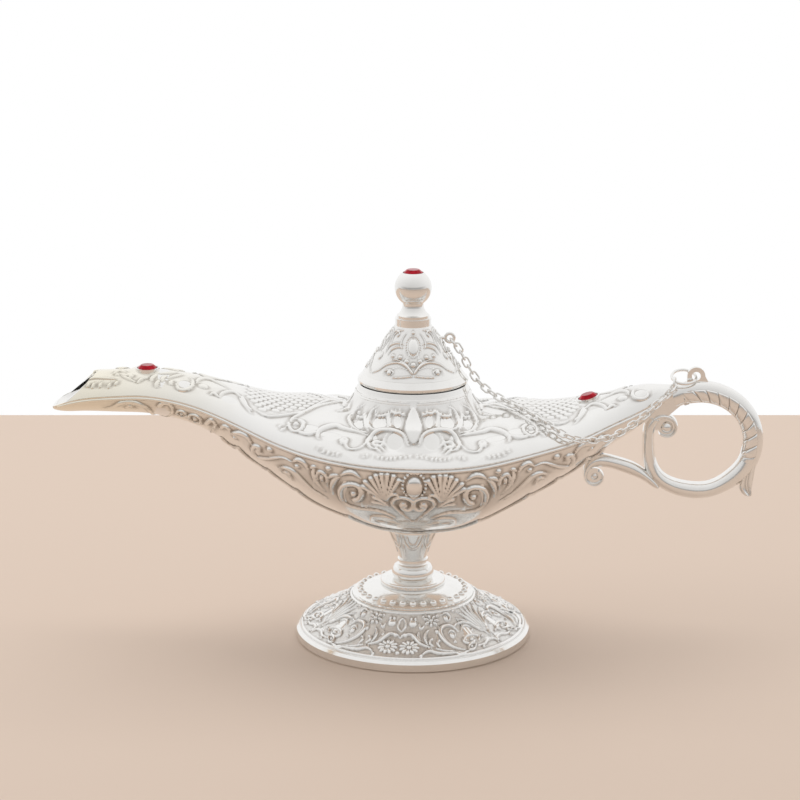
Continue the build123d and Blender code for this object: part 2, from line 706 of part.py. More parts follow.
# Red stones: a faceted crown on a short girdle
def stone(seat, label):
    """One stone whose flat back lies on the seat plane."""
    with BuildPart() as gem:
        with BuildSketch(seat):
            RegularPolygon(STONE_RADIUS, STONE_SIDES)
        extrude(amount=STONE_GIRDLE)
        with BuildSketch(seat.offset(STONE_GIRDLE)):
            RegularPolygon(STONE_RADIUS, STONE_SIDES)
        with BuildSketch(seat.offset(STONE_GIRDLE + STONE_CROWN)):
            RegularPolygon(STONE_TABLE_RADIUS, STONE_SIDES)
        loft(ruled=True)
    gem.part.label = label
    export_step(gem.part, f"parts/{label}.step")
    return gem.part


setting_seat = SETTING_HEIGHT - STONE_SINK
finial_stone = stone(Plane.XY.offset(ball_stone_z - STONE_SINK), "finial_stone")
spout_stone = stone(spout_stone_plane.offset(setting_seat), "spout_stone")
rear_stone = stone(rear_stone_plane.offset(setting_seat), "rear_stone")

# Handle: hoop, lower arm, two coiled ends, leaf and lug in one casting. Each band's points
# are shares of the hoop's width and height from its centre, with its half thickness as a
# share of the thickest.
hoop_x = HEEL_REACH + (HOOP_BEHIND - HOOP_AHEAD) / 2
hoop_z = seam_z + (HOOP_RISE - HOOP_DROP) / 2
hoop_half_width = (HOOP_BEHIND + HOOP_AHEAD) / 2
hoop_half_height = (HOOP_RISE + HOOP_DROP) / 2

HOOP_SHARES = (
    (-0.56, 0.89, 1.08),
    (-0.34, 0.97, 1.06),
    (0.10, 1.00, 1.02),
    (0.62, 0.78, 0.98),
    (0.95, 0.32, 0.95),
    (0.98, -0.22, 0.94),
    (0.64, -0.73, 0.88),
    (0.00, -1.00, 0.81),
    (-0.53, -0.90, 0.75),
    (-0.88, -0.62, 0.67),
    (-1.00, -0.20, 0.61),
    (-1.01, 0.12, 0.57),
    (-0.90, 0.46, 0.58),
)
ARM_SHARES = (
    (-0.80, -0.93, 0.20),
    (-0.98, -0.76, 0.45),
    (-1.22, -0.60, 0.60),
    (-1.47, -0.49, 0.65),
    (-1.70, -0.42, 0.65),
)
LEAF_SHARES = (
    (1.06, -0.25),
    (1.04, -0.58),
    (1.00, -0.87),
    (0.98, -1.10),
    (0.86, -1.08),
    (0.76, -0.95),
    (0.78, -0.80),
    (0.88, -0.48),
)
WEB_SHARES = (
    (-1.08, 0.22),
    (-1.10, 0.58),
    (-0.50, 1.05),
    (-0.40, 0.76),
    (-0.66, 0.52),
    (-0.82, 0.26),
)
# Coils: turn in degrees, radius and half thickness as shares of the coil's outer radius
COIL_SHARES = (
    (96, 1.42, 0.56),
    (135, 1.06, 0.34),
    (180, 0.88, 0.22),
    (225, 0.84, 0.18),
    (270, 0.82, 0.17),
    (320, 0.80, 0.16),
    (370, 0.76, 0.14),
    (415, 0.66, 0.12),
)
CURL_SHARES = (
    (148, 1.40, 0.40),
    (115, 1.16, 0.34),
    (80, 1.00, 0.27),
    (30, 0.88, 0.20),
    (-30, 0.84, 0.17),
    (-90, 0.84, 0.15),
    (-140, 0.86, 0.12),
)


def hoop_point(row):
    """A point in the handle's plane from its shares of the hoop."""
    return (hoop_x + row[0] * hoop_half_width, hoop_z + row[1] * hoop_half_height)


def coil_point(centre, radius, row):
    """A point on a coil from its turn and its share of the radius."""
    turn = math.radians(row[0])
    reach = radius * row[1]
    return (centre[0] + reach * math.cos(turn), centre[1] + reach * math.sin(turn))


def band_sections(points, thicks, half_width):
    """Oval sections square to the line through the points, to loft into a band."""
    sections = []
    for at, (x, z) in enumerate(points):
        before = points[max(at - 1, 0)]
        after = points[min(at + 1, len(points) - 1)]
        along = Vector(after[0] - before[0], 0, after[1] - before[1]).normalized()
        plane = Plane(origin=(x, 0, z), x_dir=(0, 1, 0), z_dir=along)
        with BuildSketch(plane) as section:
            Ellipse(half_width, thicks[at])
        sections.append(section.sketch)
    return sections


hoop_points = [hoop_point(row) for row in HOOP_SHARES]
hoop_thicks = [HANDLE_THICK * row[2] for row in HOOP_SHARES]
coil_centre = (HEEL_REACH - SCROLL_AHEAD, seam_z - SCROLL_DROP)
arm_points = [hoop_point(row) for row in ARM_SHARES]
arm_points += [coil_point(coil_centre, SCROLL_RADIUS, row) for row in COIL_SHARES]
arm_thicks = [HANDLE_THICK * row[2] for row in ARM_SHARES]
arm_thicks += [SCROLL_RADIUS * row[2] for row in COIL_SHARES]
curl_centre = (HEEL_REACH - CURL_AHEAD, seam_z + CURL_RISE)
curl_points = [coil_point(curl_centre, CURL_RADIUS, row) for row in CURL_SHARES]
curl_thicks = [CURL_RADIUS * row[2] for row in CURL_SHARES]
beads = ((curl_centre, CURL_BEAD_RADIUS, CURL_RADIUS), (coil_centre, SCROLL_BEAD_RADIUS, SCROLL_RADIUS))

with BuildPart() as handle:
    loft(band_sections(hoop_points, hoop_thicks, HANDLE_HALF_WIDTH))
    loft(band_sections(arm_points, arm_thicks, ARM_HALF_WIDTH))
    loft(band_sections(curl_points, curl_thicks, ARM_HALF_WIDTH))
    for centre, bead_radius, web_radius in beads:
        with BuildSketch(Plane.XZ):
            with Locations(centre):
                Circle(web_radius * WEB_SHARE)
        extrude(amount=SCROLL_WEB, both=True)
        with Locations((centre[0], 0, centre[1])):
            Sphere(bead_radius)
    with BuildSketch(Plane.XZ):
        with BuildLine():
            leaf_points = [hoop_point(row) for row in LEAF_SHARES]
            Spline(*leaf_points[:4])
            Spline(*leaf_points[3:])
            Line(leaf_points[-1], leaf_points[0])
        make_face()
    extrude(amount=LEAF_HALF_WIDTH, both=True)
    with BuildSketch(Plane.XZ):
        with BuildLine():
            Polyline(*[hoop_point(row) for row in WEB_SHARES], close=True)
        make_face()
    extrude(amount=LEAF_HALF_WIDTH, both=True)
    with BuildSketch(Plane.XZ):
        with Locations((lug_x, lug_z)):
            Circle(LUG_RADIUS)
        with BuildLine():
            Polyline(
                (lug_x, lug_z + LUG_RADIUS),
                (lug_x + LUG_RADIUS, lug_z),
                (lug_x + 2 * LUG_RADIUS, hoop_top_z),
                (lug_x - LUG_RADIUS, hoop_top_z),
                (lug_x - LUG_RADIUS, lug_z),
                close=True,
            )
        make_face()
    extrude(amount=LUG_HALF_THICK, both=True)
    with BuildSketch(Plane.XZ):
        with Locations((lug_x, lug_z)):
            Circle(LUG_HOLE_RADIUS)
    extrude(amount=CUT, both=True, mode=Mode.SUBTRACT)
    add(hull_form.part, mode=Mode.SUBTRACT)
    add(deck_form.part, mode=Mode.SUBTRACT)
    for screw_plane, reach in ((heel_screw_plane, HEEL_SCREW_LENGTH), (arm_screw_plane, -ARM_SCREW_LENGTH)):
        with BuildSketch(screw_plane):
            Circle(SCREW_RADIUS + THREAD_CLEARANCE)
        extrude(amount=reach + math.copysign(SCREW_CLEARANCE, reach), mode=Mode.SUBTRACT)
handle.part.label = "handle"
export_step(handle.part, "parts/handle.step")

# Screws that hold the handle, driven from inside the hull
with BuildPart() as handle_heel_screw:
    with BuildSketch(heel_screw_plane):
        Circle(SCREW_RADIUS)
    extrude(amount=HEEL_SCREW_LENGTH)
    with BuildSketch(heel_screw_plane.offset(-SCREW_HEAD_HEIGHT)):
        Circle(SCREW_HEAD_RADIUS)
    extrude(amount=SCREW_HEAD_HEIGHT)
handle_heel_screw.part.label = "handle_heel_screw"
export_step(handle_heel_screw.part, "parts/handle_heel_screw.step")

with BuildPart() as handle_arm_screw:
    with BuildSketch(arm_screw_plane.offset(-ARM_SCREW_LENGTH)):
        Circle(SCREW_RADIUS)
    extrude(amount=ARM_SCREW_LENGTH + ARM_SCREW_SEAT)
    with BuildSketch(arm_screw_plane.offset(ARM_SCREW_SEAT)):
        Circle(SCREW_HEAD_RADIUS)
    extrude(amount=SCREW_HEAD_HEIGHT)
handle_arm_screw.part.label = "handle_arm_screw"
export_step(handle_arm_screw.part, "parts/handle_arm_screw.step")

# Eyelet: a ring on a shank that is riveted inside the cone
eyelet_z = cone_z + EYELET_RISE
cone_slope = (CONE_FOOT_RADIUS - CONE_TOP_RADIUS) / CONE_HEIGHT
cone_x = CONE_FOOT_RADIUS - cone_slope * EYELET_RISE
eyelet_x = cone_x + EYELET_SHANK + EYELET_RADIUS + EYELET_WIRE / 2
rivet_x = cone_x - CONE_WALL - cone_slope * EYELET_HEAD_RADIUS - RING_PLAY

with BuildPart() as lid_eyelet:
    with BuildSketch(Plane.YZ.offset(rivet_x - EYELET_HEAD_HEIGHT)):
        with Locations((0, eyelet_z)):
            Circle(EYELET_HEAD_RADIUS)
    extrude(amount=EYELET_HEAD_HEIGHT)
    with BuildSketch(Plane.YZ.offset(rivet_x)):
        with Locations((0, eyelet_z)):
            Circle(EYELET_WIRE / 2)
    extrude(amount=eyelet_x - EYELET_RADIUS - rivet_x)
    with Locations(Plane(origin=(eyelet_x, 0, eyelet_z), z_dir=(0, 1, 0))):
        Torus(EYELET_RADIUS, EYELET_WIRE / 2)
lid_eyelet.part.label = "lid_eyelet"
export_step(lid_eyelet.part, "parts/lid_eyelet.step")

# Rings at the chain's two ends
fall = math.radians(LID_RING_FALL)
fall_way = Vector(math.cos(fall), 0, -math.sin(fall))
eyelet_centre = Vector(eyelet_x, 0, eyelet_z)
ring_step = EYELET_RADIUS - (EYELET_WIRE + LID_RING_WIRE) / 2 - RING_PLAY + LID_RING_RADIUS
lid_ring_centre = eyelet_centre + fall_way * ring_step
link_reach = (LINK_LENGTH - LINK_WIRE) / 2
first_step = LID_RING_RADIUS - (LID_RING_WIRE + LINK_WIRE) / 2 - RING_PLAY + link_reach
first_link = lid_ring_centre + fall_way * first_step

with BuildPart() as lid_ring:
    with Locations(Plane(origin=lid_ring_centre, z_dir=fall_way.cross(Vector(0, 1, 0)))):
        Torus(LID_RING_RADIUS, LID_RING_WIRE / 2)
lid_ring.part.label = "lid_ring"
export_step(lid_ring.part, "parts/lid_ring.step")

tilt = math.radians(HANDLE_RING_TILT)
turn = math.radians(HANDLE_RING_TURN)
lug_point = Vector(lug_x, 0, lug_z - LUG_HOLE_RADIUS + HANDLE_RING_WIRE / 2 + HANDLE_RING_LIFT)
handle_ring_centre = lug_point - Vector(HANDLE_RING_RADIUS, 0, 0)
ring_level = Vector(0, math.cos(tilt), math.sin(tilt))
hang_way = Vector(math.cos(turn), 0, 0) + ring_level * math.sin(turn)
hang_point = handle_ring_centre + hang_way * HANDLE_RING_RADIUS
brim_x = BRIM_RADIUS + CHAIN_BRIM_GAP
route = [
    Vector(brim_x + (lug_x - brim_x) * far, -BEAM / 2 * side, seam_z + up)
    for far, side, up in CHAIN_ROUTE
]
last_way = (hang_point - route[-1]).normalized()
last_step = link_reach - (HANDLE_RING_WIRE + LINK_WIRE) / 2 - HANG_PLAY
last_link = hang_point - last_way * last_step

with BuildPart() as handle_ring:
    with Locations(Plane(origin=handle_ring_centre, z_dir=(0, -math.sin(tilt), math.cos(tilt)))):
        Torus(HANDLE_RING_RADIUS, HANDLE_RING_WIRE / 2)
handle_ring.part.label = "handle_ring"
export_step(handle_ring.part, "parts/handle_ring.step")

# Chain links, each a round wire swept round an oval
with BuildPart() as link:
    with BuildLine() as oval:
        straight = (LINK_LENGTH - LINK_WIDTH) / 2
        bend = (LINK_WIDTH - LINK_WIRE) / 2
        Line((-straight, bend), (straight, bend))
        ThreePointArc((straight, bend), (straight + bend, 0), (straight, -bend))
        Line((straight, -bend), (-straight, -bend))
        ThreePointArc((-straight, -bend), (-straight - bend, 0), (-straight, bend))
    with BuildSketch(Plane(origin=(0, bend, 0), z_dir=(1, 0, 0))):
        Circle(LINK_WIRE / 2)
    sweep(path=oval.wire())

chain_path = Spline(first_link, *route, last_link)
link_count = 1 + round(chain_path.length / LINK_PITCH)


def link_plane(number):
    """The middle plane of one link, leaning to alternate sides along the route."""
    at = number / (link_count - 1)
    along = chain_path % at
    side = along.cross(Vector(0, 0, 1)).normalized()
    up = side.cross(along)
    last = link_count - 1
    twist_end = END_TWIST * max(0, 1 - (last - number) / TWIST_LINKS)
    twist_start = END_TWIST * (-1) ** last * max(0, 1 - number / TWIST_LINKS)
    lean = math.radians(twist_start + twist_end + LINK_ROLL * (-1) ** (last - number))
    normal = up * math.cos(lean) + side * math.sin(lean)
    return Plane(origin=chain_path @ at, x_dir=along, z_dir=normal)


run_starts = (0, LID_LINKS, LID_LINKS + DECK_LINKS, link_count)
run_names = ("chain_lid_links", "chain_deck_run", "chain_handle_run")
runs = {}
for name, start, end in zip(run_names, run_starts, run_starts[1:]):
    with BuildPart() as run:
        for number in range(start, end):
            with Locations(link_plane(number)):
                add(link.part)
    run.part.label = name
    export_step(run.part, f"parts/{name}.step")
    runs[name] = run.part

# Where one run turns on the next: halfway between the two links that meet
for name, start in zip(run_names[1:], run_starts[1:]):
    pivot = (link_plane(start - 1).origin + link_plane(start).origin) / 2
    print(f"{name} begins at x {pivot.X:.2f}, y {pivot.Y:.2f}, z {pivot.Z:.2f}")
print(f"chain of {link_count} links, {chain_path.length:.1f} mm; ring turns at {lug_point}")
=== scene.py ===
import json
import math

import bmesh
import bpy
import numpy as np
from bpy.props import FloatProperty, FloatVectorProperty, PointerProperty
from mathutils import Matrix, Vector
from mathutils.bvhtree import BVHTree
from mathutils.kdtree import KDTree


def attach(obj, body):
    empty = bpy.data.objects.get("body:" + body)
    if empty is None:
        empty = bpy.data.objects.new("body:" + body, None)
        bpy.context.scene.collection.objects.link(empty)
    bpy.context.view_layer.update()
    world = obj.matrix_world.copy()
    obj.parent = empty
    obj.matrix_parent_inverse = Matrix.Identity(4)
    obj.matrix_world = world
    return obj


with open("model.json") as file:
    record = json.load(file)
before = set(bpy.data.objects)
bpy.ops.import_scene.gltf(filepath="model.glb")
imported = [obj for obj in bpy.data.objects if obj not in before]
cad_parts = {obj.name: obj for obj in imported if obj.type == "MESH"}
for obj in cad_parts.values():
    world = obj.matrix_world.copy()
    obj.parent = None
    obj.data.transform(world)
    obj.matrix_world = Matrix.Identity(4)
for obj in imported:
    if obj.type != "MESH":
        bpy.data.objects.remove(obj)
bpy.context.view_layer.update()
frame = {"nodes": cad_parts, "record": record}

bl_info = {
    "name": "Genie oil lamp dressing",
    "version": (1, 0, 0),
    "blender": (4, 5, 0),
    "location": "3D View > Sidebar > Oil Lamp",
    "description": "Dresses the solid oil lamp with chased ornament, polished silver and red stones",
    "category": "Object",
}

MM = 0.001

# Forms of the solids in mm, which the ornament lies on
SPOUT_REACH = 108.6
HEEL_REACH = 78.2
BEAM = 64.0
HULL_DEPTH = 27.2
DECK_RISE = 10.5
SHEER = 16.3
SEAM_Z = 61.5
SEAM_OVERRUN = 1.5
DECK_SINK = 6.0
# Length over which deck and neck blend
NECK_BLEND = 1.2
FLARE_TOP = (17.4, 77.2)
FLARE_END = (24.0, 70.4)
FLARE_SAG = 1.0
SKIRT_SLOPE = 1.23
NECK_SLOPE = 2.36
# The hood's slanting front edge, as x and z
HOOD_FOOT = (-104.47, 74.6)
HOOD_CREST = (-94.92, 83.6)
HOOD_ROUNDS = 40

# Hull stations as shares of reach, half beam, sheer, hull depth and deck rise
STATIONS = (
    (-1.000, 0.080, 0.693, 0.045, 0.32), (-0.990, 0.140, 0.736, 0.077, 0.40),
    (-0.967, 0.200, 0.810, 0.132, 0.50), (-0.921, 0.250, 0.908, 0.187, 0.57),
    (-0.829, 0.281, 0.982, 0.239, 0.57), (-0.737, 0.297, 1.000, 0.265, 0.56),
    (-0.645, 0.328, 0.914, 0.287, 0.60), (-0.552, 0.391, 0.736, 0.338, 0.65),
    (-0.460, 0.516, 0.515, 0.452, 0.71), (-0.368, 0.672, 0.301, 0.574, 0.82),
    (-0.276, 0.812, 0.160, 0.743, 0.97), (-0.184, 0.922, 0.080, 0.860, 0.99),
    (-0.092, 0.984, 0.031, 0.967, 1.0), (0.0, 1.0, 0.006, 1.0, 1.0),
    (0.128, 0.984, 0.000, 0.974, 0.99), (0.256, 0.922, 0.031, 0.886, 0.97),
    (0.384, 0.812, 0.110, 0.746, 0.92), (0.512, 0.672, 0.202, 0.603, 0.76),
    (0.639, 0.516, 0.319, 0.452, 0.70), (0.767, 0.344, 0.515, 0.331, 0.60),
    (0.895, 0.200, 0.736, 0.213, 0.52), (0.959, 0.130, 0.877, 0.118, 0.30),
    (1.000, 0.090, 0.950, 0.060, 0.18),
)

# Places on hull and deck: mm along the lamp, and share of the way from the seam to keel or crest.
# Each stroke: half width and height in mm, taper, whether the rear half repeats it, and its course
HULL_STROKES = (
    (0.75, 0.55, "H", 1, ((-2.7, 0.273), (-3.3, 0.293), (-3, 0.32), (-1.7, 0.337), (-0.4, 0.317),
     (0, 0.273), (-0.8, 0.24), (-2.5, 0.223), (-4.4, 0.227), (-5.8, 0.253), (-6.1, 0.293), (-5, 0.333),
     (-2.8, 0.4), (-0.1, 0.48))),
    (0.6, 0.4, "S", 1, ((-8, 0.263), (-7, 0.217), (-5.6, 0.197), (-4.3, 0.213))),
    (0.8, 0.6, "H", 1, ((-17.5, 0.333), (-15.9, 0.297), (-15.2, 0.23), (-16, 0.18), (-18.2, 0.173),
     (-20.5, 0.213), (-21.5, 0.293), (-20.8, 0.38), (-19.2, 0.42), (-16.3, 0.417), (-12.6, 0.39),
     (-9.9, 0.383), (-7.3, 0.403), (-5.3, 0.437))),
    (0.7, 0.5, "S", 1, ((-21.2, 0.117), (-19.5, 0.08), (-17.6, 0.07), (-15.3, 0.103))),
    (0.7, 0.45, "H", 1, ((-11.6, 0.247), (-9.9, 0.263), (-7.6, 0.307))),
    (0.55, 0.35, "H", 1, ((-11.9, 0.3), (-9.9, 0.3), (-7.3, 0.32))),
    (0.5, 0.35, "S", 1, ((-12.4, 0.573), (-12, 0.483), (-10.1, 0.45), (-7.3, 0.447), (-4.3, 0.503))),
    (0.45, 0.3, "S", 1, ((-11.3, 0.563), (-8.4, 0.547), (-5, 0.56))),
    (0.7, 0.5, "H", 1, ((-45.2, 0.183), (-46.7, 0.203), (-47.5, 0.32), (-46.7, 0.39), (-45.6, 0.387),
     (-43.6, 0.32), (-41.3, 0.233), (-39.3, 0.167), (-37.6, 0.14), (-35.8, 0.147))),
    (0.7, 0.45, "S", 1, ((-35.4, 0.143), (-33.8, 0.09), (-32, 0.1), (-30.8, 0.157))),
    (0.8, 0.55, "T", 1, ((-40, 0.35), (-37.6, 0.27), (-35.3, 0.263), (-32.8, 0.327), (-30.4, 0.38),
     (-27.7, 0.413), (-25.5, 0.433))),
    (0.55, 0.4, "S", 1, ((-39, 0.417), (-37.7, 0.347), (-36.5, 0.36), (-36.1, 0.443))),
    (0.65, 0.45, "T", 1, ((-29.1, 0.11), (-29.2, 0.19), (-28.1, 0.273), (-25.6, 0.347))),
    (0.6, 0.4, "S", 1, ((-27.9, 0.227), (-28.2, 0.173), (-27.2, 0.133), (-25.9, 0.147), (-25.2, 0.193),
     (-25.2, 0.27))),
    (0.6, 0.4, "S", 1, ((-24.8, 0.173), (-23.6, 0.137), (-21.8, 0.117))),
    (0.65, 0.45, "T", 1, ((-21.5, 0.13), (-22.9, 0.17), (-23.9, 0.253), (-23.6, 0.347))),
    (0.5, 0.35, "S", 1, ((-30.2, 0.133), (-29.2, 0.103), (-28.4, 0.1))),
    (0.75, 0.5, "S", 1, ((-53.8, 0.207), (-52.3, 0.157), (-50.9, 0.12), (-49.2, 0.123), (-47.7, 0.21))),
    (0.6, 0.4, "S", 1, ((-57.5, 0.3), (-56.2, 0.163), (-54.8, 0.16), (-54.1, 0.233))),
    (0.6, 0.45, "H", 0, ((-61.9, 0.363), (-60.3, 0.183), (-59.7, 0.16), (-58.8, 0.253), (-59.7, 0.417),
     (-60.9, 0.81))),
    (0.6, 0.45, "H", 0, ((-75.8, 0.25), (-74.5, 0.133), (-72.7, 0.12), (-71.7, 0.253), (-72.5, 0.49),
     (-74.4, 0.777))),
    (0.65, 0.45, "T", 0, ((-92.3, 0.413), (-89.6, 0.34), (-87.3, 0.21), (-84.1, 0.18), (-81.1, 0.27),
     (-79.1, 0.43), (-77.7, 0.973), (-74.2, 0.75))),
    (0.45, 0.3, "S", 0, ((-86.2, 0.427), (-84.6, 0.323), (-83, 0.477))),
    (0.6, 0.5, "E", 1, ((0, 0.8), (-2.5, 0.77), (-6, 0.72), (-10, 0.75), (-14.5, 0.77), (-18.2, 0.72),
     (-19.4, 0.68))),
    (0.6, 0.5, "E", 1, ((-19.4, 0.68), (-20.6, 0.76), (-24.5, 0.79), (-29, 0.77), (-33, 0.71),
     (-34.6, 0.64))),
    (0.6, 0.5, "E", 1, ((-34.6, 0.64), (-36, 0.74), (-39, 0.76), (-42, 0.7), (-43.4, 0.63))),
    (0.6, 0.5, "E", 1, ((-43.4, 0.63), (-45, 0.76), (-48, 0.76), (-51, 0.62), (-52.2, 0.52))),
    (0.6, 0.5, "E", 1, ((-52.2, 0.52), (-53.6, 0.68), (-55.6, 0.74), (-57.4, 0.6))),
)
# Each boss: its place, its two half sizes, its height, less than 0 for a dish, and the repeat
HULL_BOSSES = (
    (0.2, 0.14, 2.5, 3.5, 1, 0),
    (-2.4, 0.297, 0.75, 0.75, 0.45, 1),
    (-17.5, 0.263, 1, 1, 0.6, 1),
    (-45.6, 0.23, 0.9, 0.9, 0.5, 1),
    (-42.3, 0.133, 1, 1, 0.55, 1),
    (-34.1, 0.173, 0.8, 0.8, 0.5, 1),
    (-24.8, 0.083, 0.85, 0.85, 0.5, 1),
    (-26.9, 0.197, 0.7, 1.3, 0.45, 1),
    (-69.1, 0.33, 0.5, 0.5, 0.4, 0),
    (-65.1, 0.347, 0.75, 0.75, 0.45, 0),
    (-53, 0.293, 0.6, 0.6, 0.45, 1),
    (-9.3, 0.533, 1.8, 0.6, 0.3, 1),
)
# Each ring: its place, radius, half width and height
HULL_RINGS = ((-69.1, 0.33, 1.5, 0.42, 0.4), (-65.1, 0.347, 2.0, 0.45, 0.45))
HULL_BEADS = (
    (2.5, 0.193), (3.2, 0.17), (3.5, 0.143), (3.6, 0.113), (3.3, 0.087), (2.9, 0.063), (2.1, 0.047),
    (1.2, 0.033), (0.2, 0.03), (-0.8, 0.033), (-1.7, 0.047), (-2.5, 0.067), (-3, 0.09), (-3.1, 0.117),
    (-3.1, 0.147), (-2.7, 0.173), (-2.1, 0.197),
)
RING_POINTS = 33
# Half sizes and height of a bead, pearl or drop
BEAD = (0.45, 0.45, 0.5)
PEARL = (0.6, 0.85, 0.45)
DROP = (0.38, 0.95, 0.3)
FAN_ROOT = (-8.3, 0.263)
# A rib's half width and height at the fan's root, and how much more it has at the tip
FAN_WIDTH = (0.18, 0.62)
FAN_HEIGHT = (0.15, 0.4)
FAN_POINTS = 8
FAN_TIPS = (
    (-14.7, 0.17), (-14, 0.127), (-12.4, 0.093), (-10.9, 0.067), (-9.3, 0.053), (-7.6, 0.05),
    (-5.8, 0.06), (-4.3, 0.087),
)
DECK_STROKES = (
    (1.95, 0.75, "L", 0, ((0, 0.255), (0, 0.33), (0, 0.41), (0, 0.48), (0, 0.55))),
    (0.7, 0.5, "S", 1, ((-1.5, 0.25), (-2.5, 0.32), (-4.4, 0.367), (-7, 0.41), (-9.9, 0.413),
     (-12.2, 0.39), (-13.3, 0.32), (-12.4, 0.243), (-10.6, 0.217))),
    (0.6, 0.4, "H", 1, ((-10.1, 0.313), (-11.1, 0.327), (-11.7, 0.297), (-10.9, 0.267), (-9.3, 0.283),
     (-8.6, 0.33), (-7.7, 0.367))),
    (0.8, 0.5, "T", 1, ((-27.9, 0.24), (-28.2, 0.31), (-27.2, 0.39), (-24.9, 0.46), (-22.6, 0.493),
     (-20.5, 0.47), (-16.6, 0.45), (-15, 0.427), (-13.6, 0.407))),
    (0.6, 0.4, "H", 1, ((-20.2, 0.29), (-20.6, 0.257), (-20.9, 0.287), (-20.5, 0.32), (-19.5, 0.313),
     (-19.8, 0.243), (-18.5, 0.187), (-15.9, 0.217), (-14.3, 0.283), (-13.3, 0.363))),
    (0.5, 0.4, "S", 1, ((-10.6, 0.62), (-12.4, 0.62), (-13.3, 0.583), (-13.3, 0.52), (-12, 0.447),
     (-9.9, 0.42))),
    (0.4, 0.35, "T", 1, ((-11.2, 0.30), (-9.6, 0.26), (-8.2, 0.20))),
    (0.4, 0.35, "T", 1, ((-11.4, 0.26), (-10.2, 0.215), (-9.2, 0.17))),
    (0.4, 0.35, "T", 1, ((-10.6, 0.33), (-8.9, 0.30), (-7.4, 0.25))),
    (0.5, 0.35, "S", 1, ((-7.3, 0.557), (-7.4, 0.52), (-7.1, 0.467), (-5.7, 0.39))),
    (0.5, 0.4, "S", 1, ((-14.7, 0.71), (-17.3, 0.737), (-18.6, 0.7), (-18.8, 0.607), (-17.3, 0.5),
     (-13.7, 0.43))),
    (0.5, 0.35, "S", 1, ((-14.4, 0.65), (-14.4, 0.6), (-14.2, 0.53), (-13.3, 0.437))),
    (0.5, 0.4, "S", 1, ((-19.3, 0.92), (-19.8, 0.84), (-21.1, 0.78), (-22.9, 0.753))),
    (0.45, 0.35, "S", 1, ((-20.8, 0.88), (-20.9, 1), (-22.3, 1))),
    (0.45, 0.4, "E", 1, ((-20.6, 1), (-25.4, 0.987), (-28.5, 0.847), (-30.7, 0.737), (-32.8, 0.64),
     (-36.4, 0.563), (-41, 0.453), (-43.6, 0.4), (-46, 0.42))),
    (0.4, 0.35, "E", 1, ((-22.3, 0.983), (-25.8, 0.893), (-28.7, 0.8), (-31.2, 0.693), (-33.1, 0.61),
     (-35.3, 0.517), (-36.5, 0.44))),
    (0.55, 0.4, "H", 1, ((-33.7, 0.49), (-32.5, 0.443), (-32.8, 0.36), (-34.8, 0.277), (-36.4, 0.317),
     (-36.7, 0.397), (-35.7, 0.47), (-34.3, 0.493))),
    (0.7, 0.4, "S", 1, ((-34, 0.283), (-31, 0.29), (-28.1, 0.35))),
    (0.45, 0.4, "E", 1, ((-51.3, 0.64), (-50.5, 0.56), (-49.5, 0.44), (-48.2, 0.393))),
    (0.4, 0.35, "S", 1, ((-51.9, 0.597), (-50.5, 0.483), (-48, 0.317))),
    (0.5, 0.35, "E", 1, ((-48.9, 1), (-41.7, 1), (-34.7, 1), (-25.6, 1), (-18.2, 1))),
    (0.45, 0.35, "S", 0, ((-76, 0.707), (-73.2, 0.803), (-70.7, 0.913))),
    (0.45, 0.35, "S", 0, ((-73.5, 0.567), (-71.4, 0.697), (-69.2, 0.84))),
    (0.5, 0.4, "S", 1, ((-70.7, 0.503), (-70.2, 0.327), (-68.7, 0.297), (-66.6, 0.407), (-65.9, 0.6),
     (-66.5, 0.77))),
    (0.55, 0.4, "T", 1, ((-64.9, 0.603), (-64.5, 0.753), (-63.1, 0.887), (-61.5, 0.927),
     (-60.1, 0.907), (-57.6, 0.833), (-55.1, 0.75))),
    (0.5, 0.4, "S", 1, ((-60.6, 0.383), (-59.5, 0.46), (-57.8, 0.393))),
    (0.55, 0.4, "S", 1, ((-57.8, 0.393), (-57.1, 0.53), (-55.2, 0.663), (-53.2, 0.693), (-51.3, 0.61))),
    (0.5, 0.4, "S", 1, ((-50.8, 0.597), (-49.9, 0.467), (-48.2, 0.397))),
    (0.5, 0.35, "S", 0, ((-78.1, 0.393), (-78, 0.54), (-76.8, 0.657))),
    (0.5, 0.35, "S", 0, ((-76.5, 0.227), (-76.5, 0.36), (-75.7, 0.493))),
    (0.5, 0.35, "S", 0, ((-75, 0.427), (-74.8, 0.56), (-74, 0.653))),
    (0.5, 0.35, "S", 0, ((-72.1, 0.357), (-72.4, 0.443), (-71.8, 0.547))),
    (0.45, 0.35, "S", 0, ((-98.6, 0.457), (-95.9, 0.57), (-92.8, 0.54), (-88.9, 0.477))),
    (0.36, 0.35, "T", 0, ((-97.4, 0.27), (-97.0, 0.35), (-96.4, 0.43))),
    (0.36, 0.35, "T", 0, ((-95.8, 0.22), (-95.6, 0.33), (-95.0, 0.45))),
    (0.36, 0.35, "T", 0, ((-93.6, 0.22), (-93.4, 0.33), (-92.9, 0.46))),
    (0.36, 0.35, "T", 0, ((-91.0, 0.20), (-90.7, 0.31), (-90.1, 0.44))),
    (0.36, 0.35, "T", 0, ((-89.0, 0.26), (-88.6, 0.36), (-88.0, 0.47))),
    (0.36, 0.3, "S", 0, ((-87.4, 0.62), (-85.4, 0.50), (-82.8, 0.36))),
    (0.45, 0.35, "S", 0, ((-89.9, 0.713), (-88.2, 0.84), (-85.9, 0.74))),
    (0.45, 0.35, "S", 0, ((-82.4, 0.32), (-81.1, 0.463), (-79.4, 0.51))),
)
